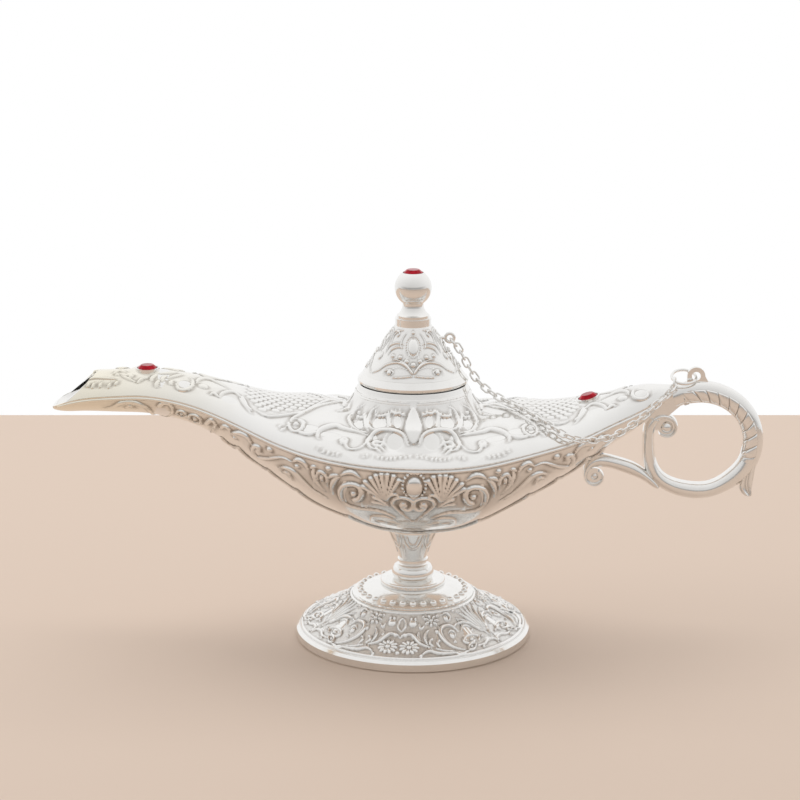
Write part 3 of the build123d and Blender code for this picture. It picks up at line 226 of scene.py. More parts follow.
DECK_BOSSES = (
    (-5.4, 0.3, 2.6, 3, -0.35, 1),
    (-10.1, 0.497, 2.4, 2.8, -0.35, 1),
    (-16.2, 0.55, 2, 2.6, -0.35, 1),
    (-4.7, 0.47, 1.4, 2.6, -0.25, 1),
    (-30.5, 0.383, 3.4, 1.8, -0.4, 1),
    (-24.4, 0.34, 4, 1.3, -0.35, 1),
    (-68.1, 0.5, 2.2, 1.8, -0.4, 1),
    (-54.8, 0.453, 2.6, 1.6, -0.4, 1),
    (-62.8, 0.567, 1.5, 1.2, 0.4, 1),
    (-34.7, 0.403, 0.9, 0.9, 0.45, 1),
    (-88.7, 0.65, 0.7, 0.7, 0.35, 0),
    (-84.4, 0.57, 0.9, 0.9, 0.4, 0),
)
DECK_PEARLS = (
    (-11.1, 0.573), (-10.1, 0.553), (-9.1, 0.543), (-8.1, 0.54), (-6.4, 0.543), (-5.3, 0.527),
    (-4.1, 0.523), (-3, 0.51), (-16.6, 0.65), (-15.6, 0.623), (-14.7, 0.627), (-16.3, 0.687),
)
DECK_DROPS = (
    (-14.6, 0.113), (-13.4, 0.133), (-10.3, 0.123), (-9.1, 0.117), (-7.8, 0.113), (-6.6, 0.117),
    (-5.4, 0.12), (-3.8, 0.133), (-2.4, 0.143), (-1, 0.147), (-39.3, 0.3), (-38.6, 0.253),
    (-37.7, 0.303), (-27.7, 0.117), (-26.4, 0.087), (-24.9, 0.08), (-23.5, 0.08), (-22.1, 0.087),
)
# Fish scales on the deck lie above this edge
SCALE_EDGE = (
    (-50.5, 0.60), (-46.0, 0.44), (-41.0, 0.47), (-36.4, 0.58), (-32.8, 0.66), (-30.7, 0.75),
    (-28.5, 0.86), (-25.4, 0.98),
)
SCALE_EDGE_GAP = 0.05
SCALE_REACH = (-49.0, -21.0)
SCALE_MIDDLE = -28.0
SCALE_COLUMNS = range(-9, 11)
SCALE_ROWS = 9
SCALE_PITCH = 2.6
SCALE_TOP_ROW = 0.985
SCALE_ROW_STEP = 0.068
SCALE = (1.25, 0.95, 0.28)
SCALE_ROUNDING = 0.5

# Line of beading under the seam: drop, half width and height, and how far it stops from the ends
SEAM_BEAD = (1.3, 0.5, 0.32)
SEAM_BEAD_INSET = 2.0
SEAM_BEAD_POINTS = 400
SEAM_GIRTH_LEAST = 4

# How round ridges and bosses are in section, and the height of a stroke's thin ends, as a share
RIDGE_ROUNDING = 0.62
BOSS_ROUNDING = 0.6
END_HEIGHT = 0.45

# Painted shade in the ornament's near and wider corners: blur in points, gain and share
CORNERS = ((3, 4.5, 0.8), (9, 1.8, 0.4))

# Where hull and deck skins begin and end, and how much broader their strokes are than measured
SPOUT_SET_BACK = 0.5
HEEL_SET_BACK = 0.3
HOOD_SET_BACK = 0.3
SEAM_SHARE = 0.004
HULL_BREADTH = 1.15
DECK_BREADTH = 1.4
# Strength of the painted shade in the corners of the hull's and deck's ornament
HULL_SHADE = 0.85
DECK_SHADE = 0.7

# The relief fades in from here over a length: round the stem's pad, behind the spout's tip, round
# the neck and round the stones
PAD_FADE = (7.8, 1.2)
SPOUT_FADE = 3.0
NECK_FADE = (17.5, 0.7)
STONE_FADE = (3.9, 0.6)
STONE_PLACES = (-80.0, 53.0)
# Round the neck, the deck's skin is laid on the solid's own face between these radii
FLARE_ZONE = (17.6, 34.0)
NECK_SEAT = (15.4, 17.1)
NECK_SEAT_DROP = 2.5
MOUTH_BACK = 12.0

# Points of each skin along and across
HULL_GRID = (530, 168)
DECK_GRID = (480, 176)
FOOT_GRID = (900, 84)
CUP_GRID = (360, 60)
LID_GRID = (480, 104)
ROPE_GRID = (300, 96)
LEAF_GRID = (60, 28)
DECK_INNER_ROWS = 22

# Room under the chain: air, how near a point has to be to count, and the least lift
CHAIN_AIR = 0.45
CHAIN_NEAR = 1.2
LEAST_LIFT = 0.03

# Rays that find a solid's face start this far out, and move a point by so much at most
RAY_START = 1.5
SEAT_SHIFT = 0.9

# Weld distances in metres, and angles in degrees from which an edge is sharp
SKIN_WELD = 2e-7
RING_WELD = 1e-7
SKIN_SHARP = 70
RING_SHARP = 38

# Steps along and across that give a surface's two directions there: on hull and deck in mm and
# share, on the turned pieces in degrees and share
LAMP_STEPS = (0.05, 0.004)
TURN_STEPS = (0.3, 0.01)

# Neck's turned lines, as a closed profile of radius and height
NECK_PROFILE = (
    (15.2, 76.0), (17.3, 76.4), (17.75, 76.9), (17.68, 77.15), (17.50, 77.22), (17.42, 77.35),
    (17.40, 77.55), (17.25, 77.62), (17.18, 77.8), (16.95, 78.3), (16.85, 78.38), (16.78, 78.55),
    (16.55, 79.2), (16.42, 79.6), (16.32, 79.78), (16.1, 79.83), (15.2, 79.83),
)
NECK_SEGMENTS = 240

# Handle: middle of the hoop's band where the rope runs, and the leaf's two edges, as x and z in mm
HOOP_LINE = (
    (81.01, 76.1), (81.96, 76.34), (88.94, 76.8), (97.18, 73.4), (102.41, 66.29), (102.88, 57.95),
    (101.62, 54.86),
)
HOOP_HALF = 2.5
HOOP_RAY = (5, 8)
# The rope reaches this many degrees round the band either side of its inner middle, where a plain
# lip is; a turn of it takes one pitch
ROPE_REACH = 112.0
ROPE_LIP = 20.0
ROPE_PITCH = 3.5
ROPE_SLANT = 1.8
ROPE_HEIGHT = 0.36
ROPE_LIFT = 0.06
ROPE_END_FADE = 3.5
ROPE_SIDE_FADE = 0.12
# how much stronger the painted shade is in the rope's corners
ROPE_SHADE = 1.4
LEAF_OUTSIDE = ((104.15, 57.49), (103.83, 52.39), (103.2, 47.91), (102.88, 44.36))
LEAF_INSIDE = ((101.3, 53.93), (99.71, 48.99), (99.4, 46.67), (100.98, 44.66), (102.88, 44.36))
LEAF_HALF_WIDTH = 1.7
LEAF_LIFT = 0.05
LEAF_RIM = 0.5
LEAF_MARGIN = 0.04
# Across the leaf, as shares of its half width: the rim's slope, how steep the hollow is, and the
# vein's height and reach; and the slope at its ends, as a share of its length
LEAF_RIM_SLOPE = 0.25
LEAF_HOLLOW = 1.5
LEAF_VEIN = (0.5, 0.16)
LEAF_END_FADE = 0.1

# Foot, cup and lid: edges as radius and height, panels by the turn of their middle, and ornament
# by degrees either side of that and share up the slope
FOOT_EDGE = (35.0, 3.37)
FOOT_BAND = (33.5, 4.4)
FOOT_RING = (18.6, 13.1)
FOOT_BAND_SHARE = 0.09
FOOT_SAG = 0.8
FOOT_LIFT = 0.08
FOOT_WALL = 0.5
FOOT_PANELS = (-8.5, 111.5, 231.5)
FOOT_STROKES = (
    (0.4, 0.45, "T", ((59.9, 0.40), (59.9, 0.60), (59.9, 0.80), (59.9, 0.98))),
    (0.5, 0.45, "T", ((58.8, 0.393), (57.9, 0.624), (56.6, 0.813), (54.5, 0.978))),
    (0.5, 0.45, "T", ((58.0, 0.398), (55.8, 0.613), (53.0, 0.783), (48.8, 0.913))),
    (0.45, 0.45, "T", ((57.0, 0.403), (53.4, 0.6), (49.6, 0.717), (43.9, 0.814))),
    (0.5, 0.42, "H", ((43.8, 0.693), (48.6, 0.68), (53.0, 0.61), (56.0, 0.502), (58.5, 0.389),
     (59.7, 0.286))),
    (0.45, 0.4, "S", ((42.6, 0.542), (45.0, 0.61), (48.5, 0.61), (51.5, 0.56))),
    (0.65, 0.5, "T", ((36.7, 0.132), (31, 0.251), (27.7, 0.43), (27.3, 0.591), (30.3, 0.68),
     (35.6, 0.69), (38.9, 0.629), (40, 0.542))),
    (0.4, 0.35, "S", ((35.9, 0.45), (36.9, 0.539), (35, 0.584), (32.3, 0.538))),
    (0.65, 0.5, "T", ((18.2, 0.285), (13, 0.362), (10.2, 0.482), (7.1, 0.561), (2.1, 0.547),
     (0.2, 0.491))),
    (0.45, 0.4, "S", ((17, 0.341), (16.1, 0.474), (16.9, 0.576), (19.4, 0.652))),
    (0.4, 0.38, "S", ((13.2, 0.416), (11.9, 0.528), (12.2, 0.613))),
    (0.4, 0.38, "S", ((20.1, 0.302), (18.5, 0.369), (19.2, 0.44), (21.1, 0.456))),
    (0.4, 0.38, "S", ((23.9, 0.274), (23, 0.349), (24, 0.409), (25.7, 0.416))),
    (0.6, 0.45, "T", ((34.5, 0.102), (27.3, 0.108), (21.7, 0.139), (17.8, 0.2), (14.6, 0.171),
     (12.3, 0.086))),
    (0.35, 0.35, "S", ((31, 0.144), (25.7, 0.177), (20.6, 0.269))),
    (0.4, 0.35, "S", ((37.4, 0.767), (40.4, 0.854), (38.4, 0.926), (33.2, 0.912))),
    (0.45, 0.42, "E", ((49.2, 0.274), (50.9, 0.345), (48.2, 0.403), (43.1, 0.409), (39.7, 0.339),
     (40.7, 0.262), (43.9, 0.255), (47, 0.293))),
    (0.38, 0.38, "E", ((43.1, 0.148), (45.2, 0.213), (43.6, 0.247), (40.5, 0.208), (39.3, 0.132),
     (40.8, 0.11), (43.1, 0.143))),
    (0.5, 0.42, "S", ((58.9, 0.089), (58.9, 0.193), (54.3, 0.219), (49.9, 0.164), (45.1, 0.167))),
    (0.4, 0.35, "S", ((39.2, 0.11), (34.3, 0.076), (31, 0.081))),
    (0.35, 0.35, "S", ((43.1, 0.699), (39.1, 0.655), (38.6, 0.602))),
    (0.35, 0.35, "S", ((0.0, 0.62), (2.6, 0.70), (2.4, 0.82), (0.0, 0.88))),
    (0.35, 0.35, "S", ((17.0, 0.74), (14.0, 0.68), (13.2, 0.80))),
)
# Each flower: its place, its petals and its radius
FOOT_FLOWERS = ((6.1, 0.288, 11, 2.6), (23.2, 0.819, 7, 2.0))
# Its petals' half widths and heights from their root to their tip, in a flower of 1.9 mm, and
# where they start and how large the heart is, as shares of the radius
FOOT_PETAL_WIDTH = (0.2, 0.36, 0.42, 0.3)
FOOT_PETAL_HEIGHT = (0.25, 0.4, 0.45, 0.3)
FOOT_PETAL_RADIUS = 1.9
FOOT_PETAL_START = 0.42
FOOT_HEART = 0.32
FOOT_HEART_HEIGHT = 0.5
# Each drop: its place and two half sizes
FOOT_DROP_HEIGHT = 0.45
FOOT_DROPS = (
    (8.3, 0.781, 1.15, 1.3), (10.4, 0.862, 0.4, 0.7), (7.2, 0.862, 0.4, 0.7), (36.1, 0.828, 0.7, 1.15),
    (34.3, 0.488, 0.7, 1.2), (45.1, 0.325, 0.7, 0.7), (41.8, 0.179, 0.45, 0.45), (3.3, 0.553, 0.6, 0.9),
    (19.7, 0.964, 0.35, 0.35), (12.4, 0.094, 0.45, 0.6), (60.0, 0.162, 0.8, 0.8), (48.2, 0.116, 0.45, 0.45),
    (17.2, 0.898, 0.35, 0.5), (33.9, 0.347, 0.4, 0.4), (29.5, 0.90, 0.4, 0.5), (46.0, 0.93, 0.4, 0.6),
    (0.0, 0.16, 0.6, 0.6), (25.0, 0.60, 0.45, 0.8), (53.5, 0.33, 0.4, 0.5), (50.5, 0.50, 0.4, 0.4),
)
# Each line round the foot: its share, half width and height
FOOT_LINES = ((0.05, 0.3, 0.2), (0.975, 0.3, 0.25))
FOOT_LINE_POINTS = 181
FOOT_GROUND_GAIN = 8
CUP_FOOT = (4.0, 24.2)
CUP_LIP = (7.3, 33.6)
CUP_HOLLOW = 0.3
CUP_LIFT = 0.05
CUP_WALL = 0.3
CUP_SPAN = (0.02, 0.99)
CUP_PANELS = (0, 60, 120, 180, 240, 300)
CUP_STROKES = (
    (0.26, 0.22, "E", ((0, 0.46), (10, 0.49), (19, 0.60), (24, 0.78), (25, 0.96))),
    (0.2, 0.18, "E", ((0, 0.62), (7, 0.65), (12, 0.74), (15, 0.94))),
    (0.22, 0.2, "S", ((29.5, 0.2), (29.5, 0.4), (29.5, 0.6))),
)
LID_FOOT = (15.1, 83.05)
LID_TOP = (5.4, 97.45)
LID_LIFT = 0.07
# Beads round each panel's cabochon: its share, the ring's half sizes, a bead's, and their number
LID_CABOCHON = (0.654, 2.1, 3.4)
LID_BEAD = (0.24, 0.24, 0.2)
LID_BEADS = 26
LID_PANELS = (0, 120, 240)
LID_STROKES = (
    (0.24, 0.24, "S", ((0.4, 0.17), (5.9, 0.28), (11.4, 0.343), (18.1, 0.385), (26.7, 0.4), (34.7, 0.396))),
    (0.42, 0.32, "H", ((1, 0.168), (5.8, 0.258), (13.4, 0.331), (22.9, 0.359), (32, 0.335), (40.8, 0.28),
     (48.9, 0.165), (58, 0.09))),
    (0.28, 0.26, "S", ((51.9, 0.496), (51.2, 0.586), (46.3, 0.664), (32.8, 0.71), (18, 0.69))),
    (0.28, 0.26, "S", ((44.8, 0.461), (41.1, 0.574), (29.9, 0.637), (19, 0.63))),
    (0.26, 0.24, "S", ((49, 0.694), (52, 0.82), (43.4, 0.922), (26.7, 0.954))),
    (0.28, 0.26, "H", ((40, 0.826), (37, 0.88), (45, 0.93), (56, 0.9), (58, 0.8), (56, 0.679),
     (53.1, 0.551))),
    (0.22, 0.22, "S", ((16.6, 0.912), (24, 0.814), (26, 0.7), (21, 0.6))),
    (0.28, 0.26, "S", ((38.2, 0.108), (37.7, 0.18), (31.3, 0.21), (26.2, 0.169), (29, 0.098))),
    (0.22, 0.22, "E", ((0.4, 0.124), (8.3, 0.103), (18.1, 0.086), (25.8, 0.075))),
)
LID_BOSSES = (
    (0, 0.654, 2.15, 3.45, -0.35), (0, 0.654, 1.55, 2.85, 0.6),
    (34.4, 0.469, 0.62, 0.62, 0.36), (21.1, 0.457, 0.7, 0.7, 0.4),
    (10.3, 0.39, 0.75, 0.75, 0.4), (0, 0.328, 0.85, 0.85, 0.42), (31.9, 0.159, 0.8, 0.8, 0.4),
    (27.6, 0.233, 0.22, 0.22, 0.2), (24, 0.256, 0.22, 0.22, 0.2), (20.2, 0.272, 0.22, 0.22, 0.2),
    (16, 0.271, 0.22, 0.22, 0.2), (12.1, 0.259, 0.22, 0.22, 0.2), (8.3, 0.24, 0.22, 0.22, 0.2),
    (5, 0.216, 0.22, 0.22, 0.2), (60, 0.42, 0.7, 1.2, 0.35), (0, 0.92, 0.5, 0.6, 0.3),
)

# Edges of a skin over which its relief fades, as a share
TURNED_FADE = 0.03
CUP_FADE = 0.04

# Finish of each material slot on the solids
SOLID_FINISH = {
    "silver_plate": "polished_silver",
    "chain_wire": "chain_silver",
    "steel": "fastener_steel",
    "red_stone": "cut_red_stone",
}
CHAIN_ROUGHNESS = 0.2

# Stage, in metres
FLOOR_HALF = (2.2, 1.3)
LAMP_AIM = (0, 0, 0.06)
# Camera, in mm
CAMERA_TARGET = (-3.93, 0, 74.14)
SENSOR_WIDTH = 36
# Each softbox: its name, place, size and share of the key power
SOFTBOXES = (
    ("softbox_top", (0.05, 0.35, 0.95), 0.9, 1.0),
    ("softbox_left", (-0.9, -0.1, 0.6), 0.5, 0.3),
)


class LampFinish(bpy.types.PropertyGroup):
    """Colours and heights of the lamp's plate and stones."""

    silver: FloatVectorProperty(
        name="Silver", description="Colour of the polished plate", subtype="COLOR",
        size=4, min=0, max=1, default=(0.90, 0.89, 0.87, 1))
    # painted warm reflection of the floor, blended into the plate towards the spout
    spout_painted_reflection: FloatVectorProperty(
        name="Spout painted reflection", description="Warmer plate towards the spout", subtype="COLOR",
        size=4, min=0, max=1, default=(0.93, 0.86, 0.68, 1))
    # painted shade: the dark colour blended into the ornament's corners, also the darker tone of the
    # stippled ground
    painted_shade_and_stipple: FloatVectorProperty(
        name="Painted shade and stipple", description="Colour in the corners of the ornament", subtype="COLOR",
        size=4, min=0, max=1, default=(0.24, 0.20, 0.16, 1))
    stone: FloatVectorProperty(
        name="Stone", description="Colour of the red stones", subtype="COLOR",
        size=4, min=0, max=1, default=(0.60, 0.008, 0.03, 1))
    steel: FloatVectorProperty(
        name="Steel", description="Colour of the bolt, nuts and screws", subtype="COLOR",
        size=4, min=0, max=1, default=(0.55, 0.55, 0.56, 1))
    gloss: FloatProperty(
        name="Polish roughness", description="Roughness of the polished plate",
        subtype="FACTOR", min=0, max=1, default=0.13)
    relief: FloatProperty(
        name="Ornament height", description="Scales the height of all raised ornament",
        subtype="FACTOR", min=0, max=2, default=1.45)
    lift: FloatProperty(
        name="Ground lift", description="How far the ornament's ground stands off the solid",
        subtype="DISTANCE", unit="LENGTH", default=0.10 * MM)


class LampStage(bpy.types.PropertyGroup):
    """Floor, light and camera."""

    floor: FloatVectorProperty(
        name="Floor", description="Colour of the floor", subtype="COLOR",
        size=4, min=0, max=1, default=(0.72, 0.58, 0.48, 1))
    focal: FloatProperty(
        name="Focal length", description="Camera's focal length in mm", default=103.5)
    distance: FloatProperty(
        name="Camera distance", description="From the camera to its target",
        subtype="DISTANCE", unit="LENGTH", default=0.695)
    pitch: FloatProperty(
        name="Camera pitch", description="How far the camera looks down",
        subtype="ANGLE", unit="ROTATION", default=math.radians(14.2))
    floor_back: FloatProperty(
        name="Floor's back edge", description="How far the floor runs behind the lamp",
        subtype="DISTANCE", unit="LENGTH", default=0.267)
    fill: FloatProperty(
        name="Room light", description="Strength of the light from all around", default=0.55)
    key: FloatProperty(
        name="Softbox", description="Power of the large softbox overhead", subtype="POWER",
        unit="POWER", default=5.0)


class Wire:
    """A shader socket that reads like a number in Python expressions."""

    def __init__(self, shader, socket):
        self.shader = shader
        self.socket = socket

    def _math(self, operation, first, second):
        return self.shader.node("ShaderNodeMath", {"operation": operation}, [first, second])

    def __add__(self, other):
        return self._math("ADD", self, other)

    def __radd__(self, other):
        return self._math("ADD", other, self)

    def __sub__(self, other):
        return self._math("SUBTRACT", self, other)

    def __rsub__(self, other):
        return self._math("SUBTRACT", other, self)

    def __mul__(self, other):
        return self._math("MULTIPLY", self, other)

    def __rmul__(self, other):
        return self._math("MULTIPLY", other, self)

    def __abs__(self):
        return self._math("ABSOLUTE", self, 0.0)

    def clamp(self):
        return self.shader.node("ShaderNodeClamp", {}, [self])


class Shader:
    """A new material's node tree, or the tree it is given."""

    def __init__(self, name, tree=None):
        self.tree = tree
        if tree is None:
            self.material = bpy.data.materials.new(name)
            self.material.use_nodes = True
            self.tree = self.material.node_tree
            self.surface = self.tree.nodes["Principled BSDF"]

    def node(self, kind, settings=None, inputs=None, output=0):
        made = self.tree.nodes.new(kind)
        for key, value in (settings or {}).items():
            setattr(made, key, value)
        pairs = inputs.items() if isinstance(inputs, dict) else enumerate(inputs or ())
        for key, value in pairs:
            self.feed(made.inputs[key], value)
        return None if output is None else Wire(self, made.outputs[output])

    def feed(self, socket, value):
        if isinstance(value, Wire):
            self.tree.links.new(value.socket, socket)
        else:
            socket.default_value = value

    def blend(self, share, first, second):
        return self.node(
            "ShaderNodeMix", {"data_type": "RGBA"}, {0: share, 6: first, 7: second}, output=2)

    def set(self, **values):
        for key, value in values.items():
            self.feed(self.surface.inputs[key.replace("_", " ")], value)

    def axes(self, vector):
        return [self.node("ShaderNodeSeparateXYZ", {}, [vector], output=k) for k in range(3)]

    def place(self):
        return self.node("ShaderNodeTexCoord", output=3)

    def noise(self, scale, detail=2.0, rough=0.5):
        return self.node(
            "ShaderNodeTexNoise", {}, {"Vector": self.place(), "Scale": scale, "Detail": detail,
                                       "Roughness": rough})

    def stored(self, name):
        return self.node("ShaderNodeAttribute", {"attribute_name": name}, output=2)

    def bump(self, height, strength, distance):
        return self.node(
            "ShaderNodeBump", {}, {"Strength": strength, "Distance": distance, "Height": height})


def chased_silver(finish):
    """Polished cast silver, with painted shade darkening the corners of its ornament."""
    shader = Shader("chased_silver")
    corner = shader.stored("corner")
    cloud = shader.noise(160, 3)
    grain = shader.noise(2600, 2)
    # painted shade from the corner mask, with a little random cloudy tone
    shade = (corner + (cloud - 0.5) * 0.10).clamp()
    # the painted warm reflection of the floor starts 50 mm out along the spout and is full at 95 mm
    toward_spout = (shader.axes(shader.place())[0] * -22 - 1.1).clamp()
    plate = shader.blend(toward_spout * 0.65, tuple(finish.silver), tuple(finish.spout_painted_reflection))
    shader.set(
        Base_Color=shader.blend(shade, plate, tuple(finish.painted_shade_and_stipple)),
        Metallic=1.0,
        Roughness=(finish.gloss + corner * 0.25 + (cloud - 0.5) * 0.08).clamp(),
        Normal=shader.bump(grain, 0.12, 0.00005))


def stippled_silver(finish):
    """Silver with a stippled ground between its ornament."""
    shader = Shader("stippled_silver")
    corner = shader.stored("corner")
    ground = shader.stored("ground")
    stipple = shader.noise(2200, 2, 0.6)
    # painted shade in the ornament's corners, plus the stippled ground's own darker tone
    shade = (corner * 0.75 + ground * (0.55 - stipple) * 0.7).clamp()
    shader.set(
        Base_Color=shader.blend(shade, tuple(finish.silver), tuple(finish.painted_shade_and_stipple)),
        Metallic=1.0,
        Roughness=(finish.gloss + ground * 0.24 + corner * 0.1).clamp(),
        Normal=shader.bump(stipple * ground, 0.6, 0.00012))


def plain_silver(finish, name, rough):
    """Turned and polished silver plate."""
    shader = Shader(name)
    cloud = shader.noise(220, 3)
    fine = shader.noise(1800, 2)
    shader.set(
        Base_Color=shader.blend(
            (cloud - 0.42).clamp() * 0.35, tuple(finish.silver), (0.62, 0.60, 0.56, 1)),
        Metallic=1.0,
        Roughness=(rough + (cloud - 0.5) * 0.1).clamp(),
        Normal=shader.bump(fine, 0.08, 0.00004))


def brushed_steel(finish):
    """Steel of the hidden fasteners."""
    shader = Shader("fastener_steel")
    streak = shader.noise(900, 4)
    shader.set(
        Base_Color=shader.blend(streak, tuple(finish.steel), (0.42, 0.42, 0.43, 1)),
        Metallic=1.0, Roughness=0.25 + streak * 0.2)


def red_stone(finish):
    """Cut red stone with a bright foil behind it."""
    shader = Shader("cut_red_stone")
    spark = shader.noise(700, 1)
    shader.set(
        Base_Color=shader.blend(
            (spark - 0.35).clamp() * 1.6, (0.30, 0.0, 0.008, 1), tuple(finish.stone)),
        Metallic=0.85, Roughness=0.10 + spark * 0.05, Coat_Weight=0.15, Coat_Roughness=0.03)


def smooth_table(places, values):
    """A natural cubic through a table of values."""
    count = len(places)
    step = np.diff(places)
    system = np.eye(count)
    right = np.zeros(count)
    for i in range(1, count - 1):
        system[i, i - 1:i + 2] = step[i - 1], 2 * (step[i - 1] + step[i]), step[i]
        right[i] = 6 * ((values[i + 1] - values[i]) / step[i]
                        - (values[i] - values[i - 1]) / step[i - 1])
    bend = np.linalg.solve(system, right)

    def at(x):
        i = np.clip(np.searchsorted(places, x) - 1, 0, count - 2)
        span = step[i]
        low = (places[i + 1] - x) / span
        high = (x - places[i]) / span
        curve = ((low ** 3 - low) * bend[i] + (high ** 3 - high) * bend[i + 1]) * span ** 2 / 6
        return low * values[i] + high * values[i + 1] + curve

    return at


rows = np.array(STATIONS)
station_x = rows[:, 0] * np.where(rows[:, 0] < 0, SPOUT_REACH, HEEL_REACH)
half_width = smooth_table(station_x, rows[:, 1] * BEAM / 2)
seam_height = smooth_table(station_x, SEAM_Z + rows[:, 2] * SHEER)
hull_depth = smooth_table(station_x, rows[:, 3] * HULL_DEPTH)
deck_rise = smooth_table(station_x, rows[:, 4] * DECK_RISE)


def hull_point(x, share):
    """Near side of the hull: share 0 at the seam, 1 at the keel."""
    down = hull_depth(x) + SEAM_OVERRUN
    start = np.arcsin(SEAM_OVERRUN / down)
    angle = start + (np.pi / 2 - start) * share
    across = half_width(x) / np.cos(start)
    z = seam_height(x) + SEAM_OVERRUN - down * np.sin(angle)
    return np.stack([x + 0 * share, -across * np.cos(angle), z], -1)


def flare_height(radius):
    """Height of the neck's flare over its radius."""
    top_r, top_z = FLARE_TOP
    end_r, end_z = FLARE_END
    along = np.clip((radius - top_r) / (end_r - top_r), 0, 1)
    curve = top_z + (end_z - top_z) * along - 4 * FLARE_SAG * along * (1 - along)
    head = top_z + (top_r - radius) * NECK_SLOPE
    tail = end_z - (radius - end_r) * SKIRT_SLOPE
    return np.where(radius < top_r, head, np.where(radius < end_r, curve, tail))


def deck_point(x, share):
    """Near side of the deck and neck: share 0 at the seam, 1 at the crest."""
    up = deck_rise(x) + DECK_SINK
    start = np.arcsin(DECK_SINK / up)
    angle = start + (np.pi / 2 - start) * share
    y = -half_width(x) / np.cos(start) * np.cos(angle)
    z = seam_height(x) - DECK_SINK + up * np.sin(angle)
    neck = flare_height(np.hypot(x, y))
    gap = z - neck
    blend = np.sqrt(gap * gap + NECK_BLEND * NECK_BLEND)
    return np.stack([x + 0 * share, y, (z + neck + blend) / 2], -1)


def spun_point(turn, radius, z):
    """A place on a turned piece, with the turn in degrees from the near side."""
    angle = np.radians(turn)
    return np.stack([radius * np.sin(angle), -radius * np.cos(angle), z + 0 * angle], -1)


def between(low, high, share):
    """The share of the way from one edge to the other, as radius and height."""
    return low[0] + (high[0] - low[0]) * share, low[1] + (high[1] - low[1]) * share


def foot_point(turn, share):
    """Foot's slope: share 0 at the rim's band, 1 at the raised ring."""
    up = (share - FOOT_BAND_SHARE) / (1 - FOOT_BAND_SHARE)
    sag = 4 * FOOT_SAG * up * (1 - up)
    band_radius, band_z = between(FOOT_EDGE, FOOT_BAND, share / FOOT_BAND_SHARE)
    slope_radius, slope_z = between(FOOT_BAND, FOOT_RING, up)
    return spun_point(
        turn, np.where(up < 0, band_radius, slope_radius - sag * 0.5),
        np.where(up < 0, band_z, slope_z - sag * 0.87))


def cup_point(turn, share):
    """Stem cup's flare: share 0 at its foot, 1 at its lip."""
    radius, z = between(CUP_FOOT, CUP_LIP, share)
    return spun_point(turn, radius - 4 * CUP_HOLLOW * share * (1 - share), z)


def lid_point(turn, share):
    """Lid's cone: share 0 at its foot, 1 at its top."""
    return spun_point(turn, *between(LID_FOOT, LID_TOP, share))


def fade(value, start, span):
    """0 up to the start, rising to 1 over the span."""
    return np.clip((value - start) / span, 0, 1)


def smooth_course(course, per_span=7):
    """A Catmull-Rom curve through a stroke's places."""
    places = np.array(course, float)
    padded = np.vstack([2 * places[0] - places[1], places, 2 * places[-1] - places[-2]])
    t = np.linspace(0, 1, per_span, endpoint=False)[:, None]
    runs = []
    for a, b, c, d in zip(padded, padded[1:], padded[2:], padded[3:]):
        runs.append(0.5 * (2 * b + (c - a) * t + (2 * a - 5 * b + 4 * c - d) * t ** 2
                           + (3 * b - a - 3 * c + d) * t ** 3))
    return np.vstack(runs + [places[-1:]])


def taper_of(kind, t):
    """Width along a stroke: S thin at both ends, H heavy head, T long leaf, L oval, E even."""
    if kind == "S":
        return 0.25 + 0.75 * np.sin(np.pi * t) ** 0.8
    if kind == "H":
        return np.clip(1.05 - 0.75 * t ** 1.3, 0.2, 1) * np.clip(0.6 + t * 12, 0, 1)
    if kind == "L":
        return np.clip(np.sin(np.pi * t) ** 0.85, 0.04, 1)
    if kind == "T":
        return 0.22 + 0.85 * np.sin(np.pi * t ** 0.8) ** 1.4
    return np.clip(0.45 + 6 * np.minimum(t, 1 - t), 0, 1)


class Relief:
    """Height field of raised ornament over a surface of points in mm."""

    def __init__(self, points):
        self.shape = points.shape[:2]
        self.points = points.reshape(-1, 3)
        self.height = np.zeros(len(self.points))
        self.dish = np.zeros(len(self.points))

    def near(self, low, high):
        inside = (self.points > low) & (self.points < high)
        return np.flatnonzero(inside.all(1))

    def stroke(self, path, wide, high):
        """A rounded ridge along a path, with a half width and a height at each of its points."""
        reach = wide.max()
        near = self.near(path.min(0) - reach, path.max(0) + reach)
        spots = self.points[near]
        best = np.zeros(len(near))
        for a, b, wide_a, wide_b, high_a, high_b in zip(
                path, path[1:], wide, wide[1:], high, high[1:]):
            run = b - a
            t = np.clip((spots - a) @ run / (run @ run + 1e-9), 0, 1)
            away = np.linalg.norm(spots - a - t[:, None] * run, axis=1)
            share = 1 - (away / (wide_a + t * (wide_b - wide_a))) ** 2
            ridge = (high_a + t * (high_b - high_a)) * np.clip(share, 0, 1) ** RIDGE_ROUNDING
            best = np.maximum(best, ridge)
        self.height[near] = np.maximum(self.height[near], best)

    def line(self, path, wide, high):
        """A ridge of one width and height all along."""
        self.stroke(path, np.full(len(path), wide), np.full(len(path), high))

    def boss(self, centre, along, across, a, b, high, rounding=BOSS_ROUNDING):
        """A dome over an ellipse, or a dish where its height is below 0."""
        reach = max(a, b)
        near = self.near(centre - reach, centre + reach)
        offset = self.points[near] - centre
        share = np.clip(1 - (offset @ along / a) ** 2 - (offset @ across / b) ** 2, 0, 1)
        if high > 0:
            self.height[near] = np.maximum(self.height[near], high * share ** rounding)
        else:
            self.dish[near] = np.minimum(self.dish[near], high * share)

    def total(self, scale):
        """The ridges and domes, and the dishes where nothing is raised."""
        return ((self.height + np.where(self.height > 0, 0, self.dish)) * scale).reshape(self.shape)


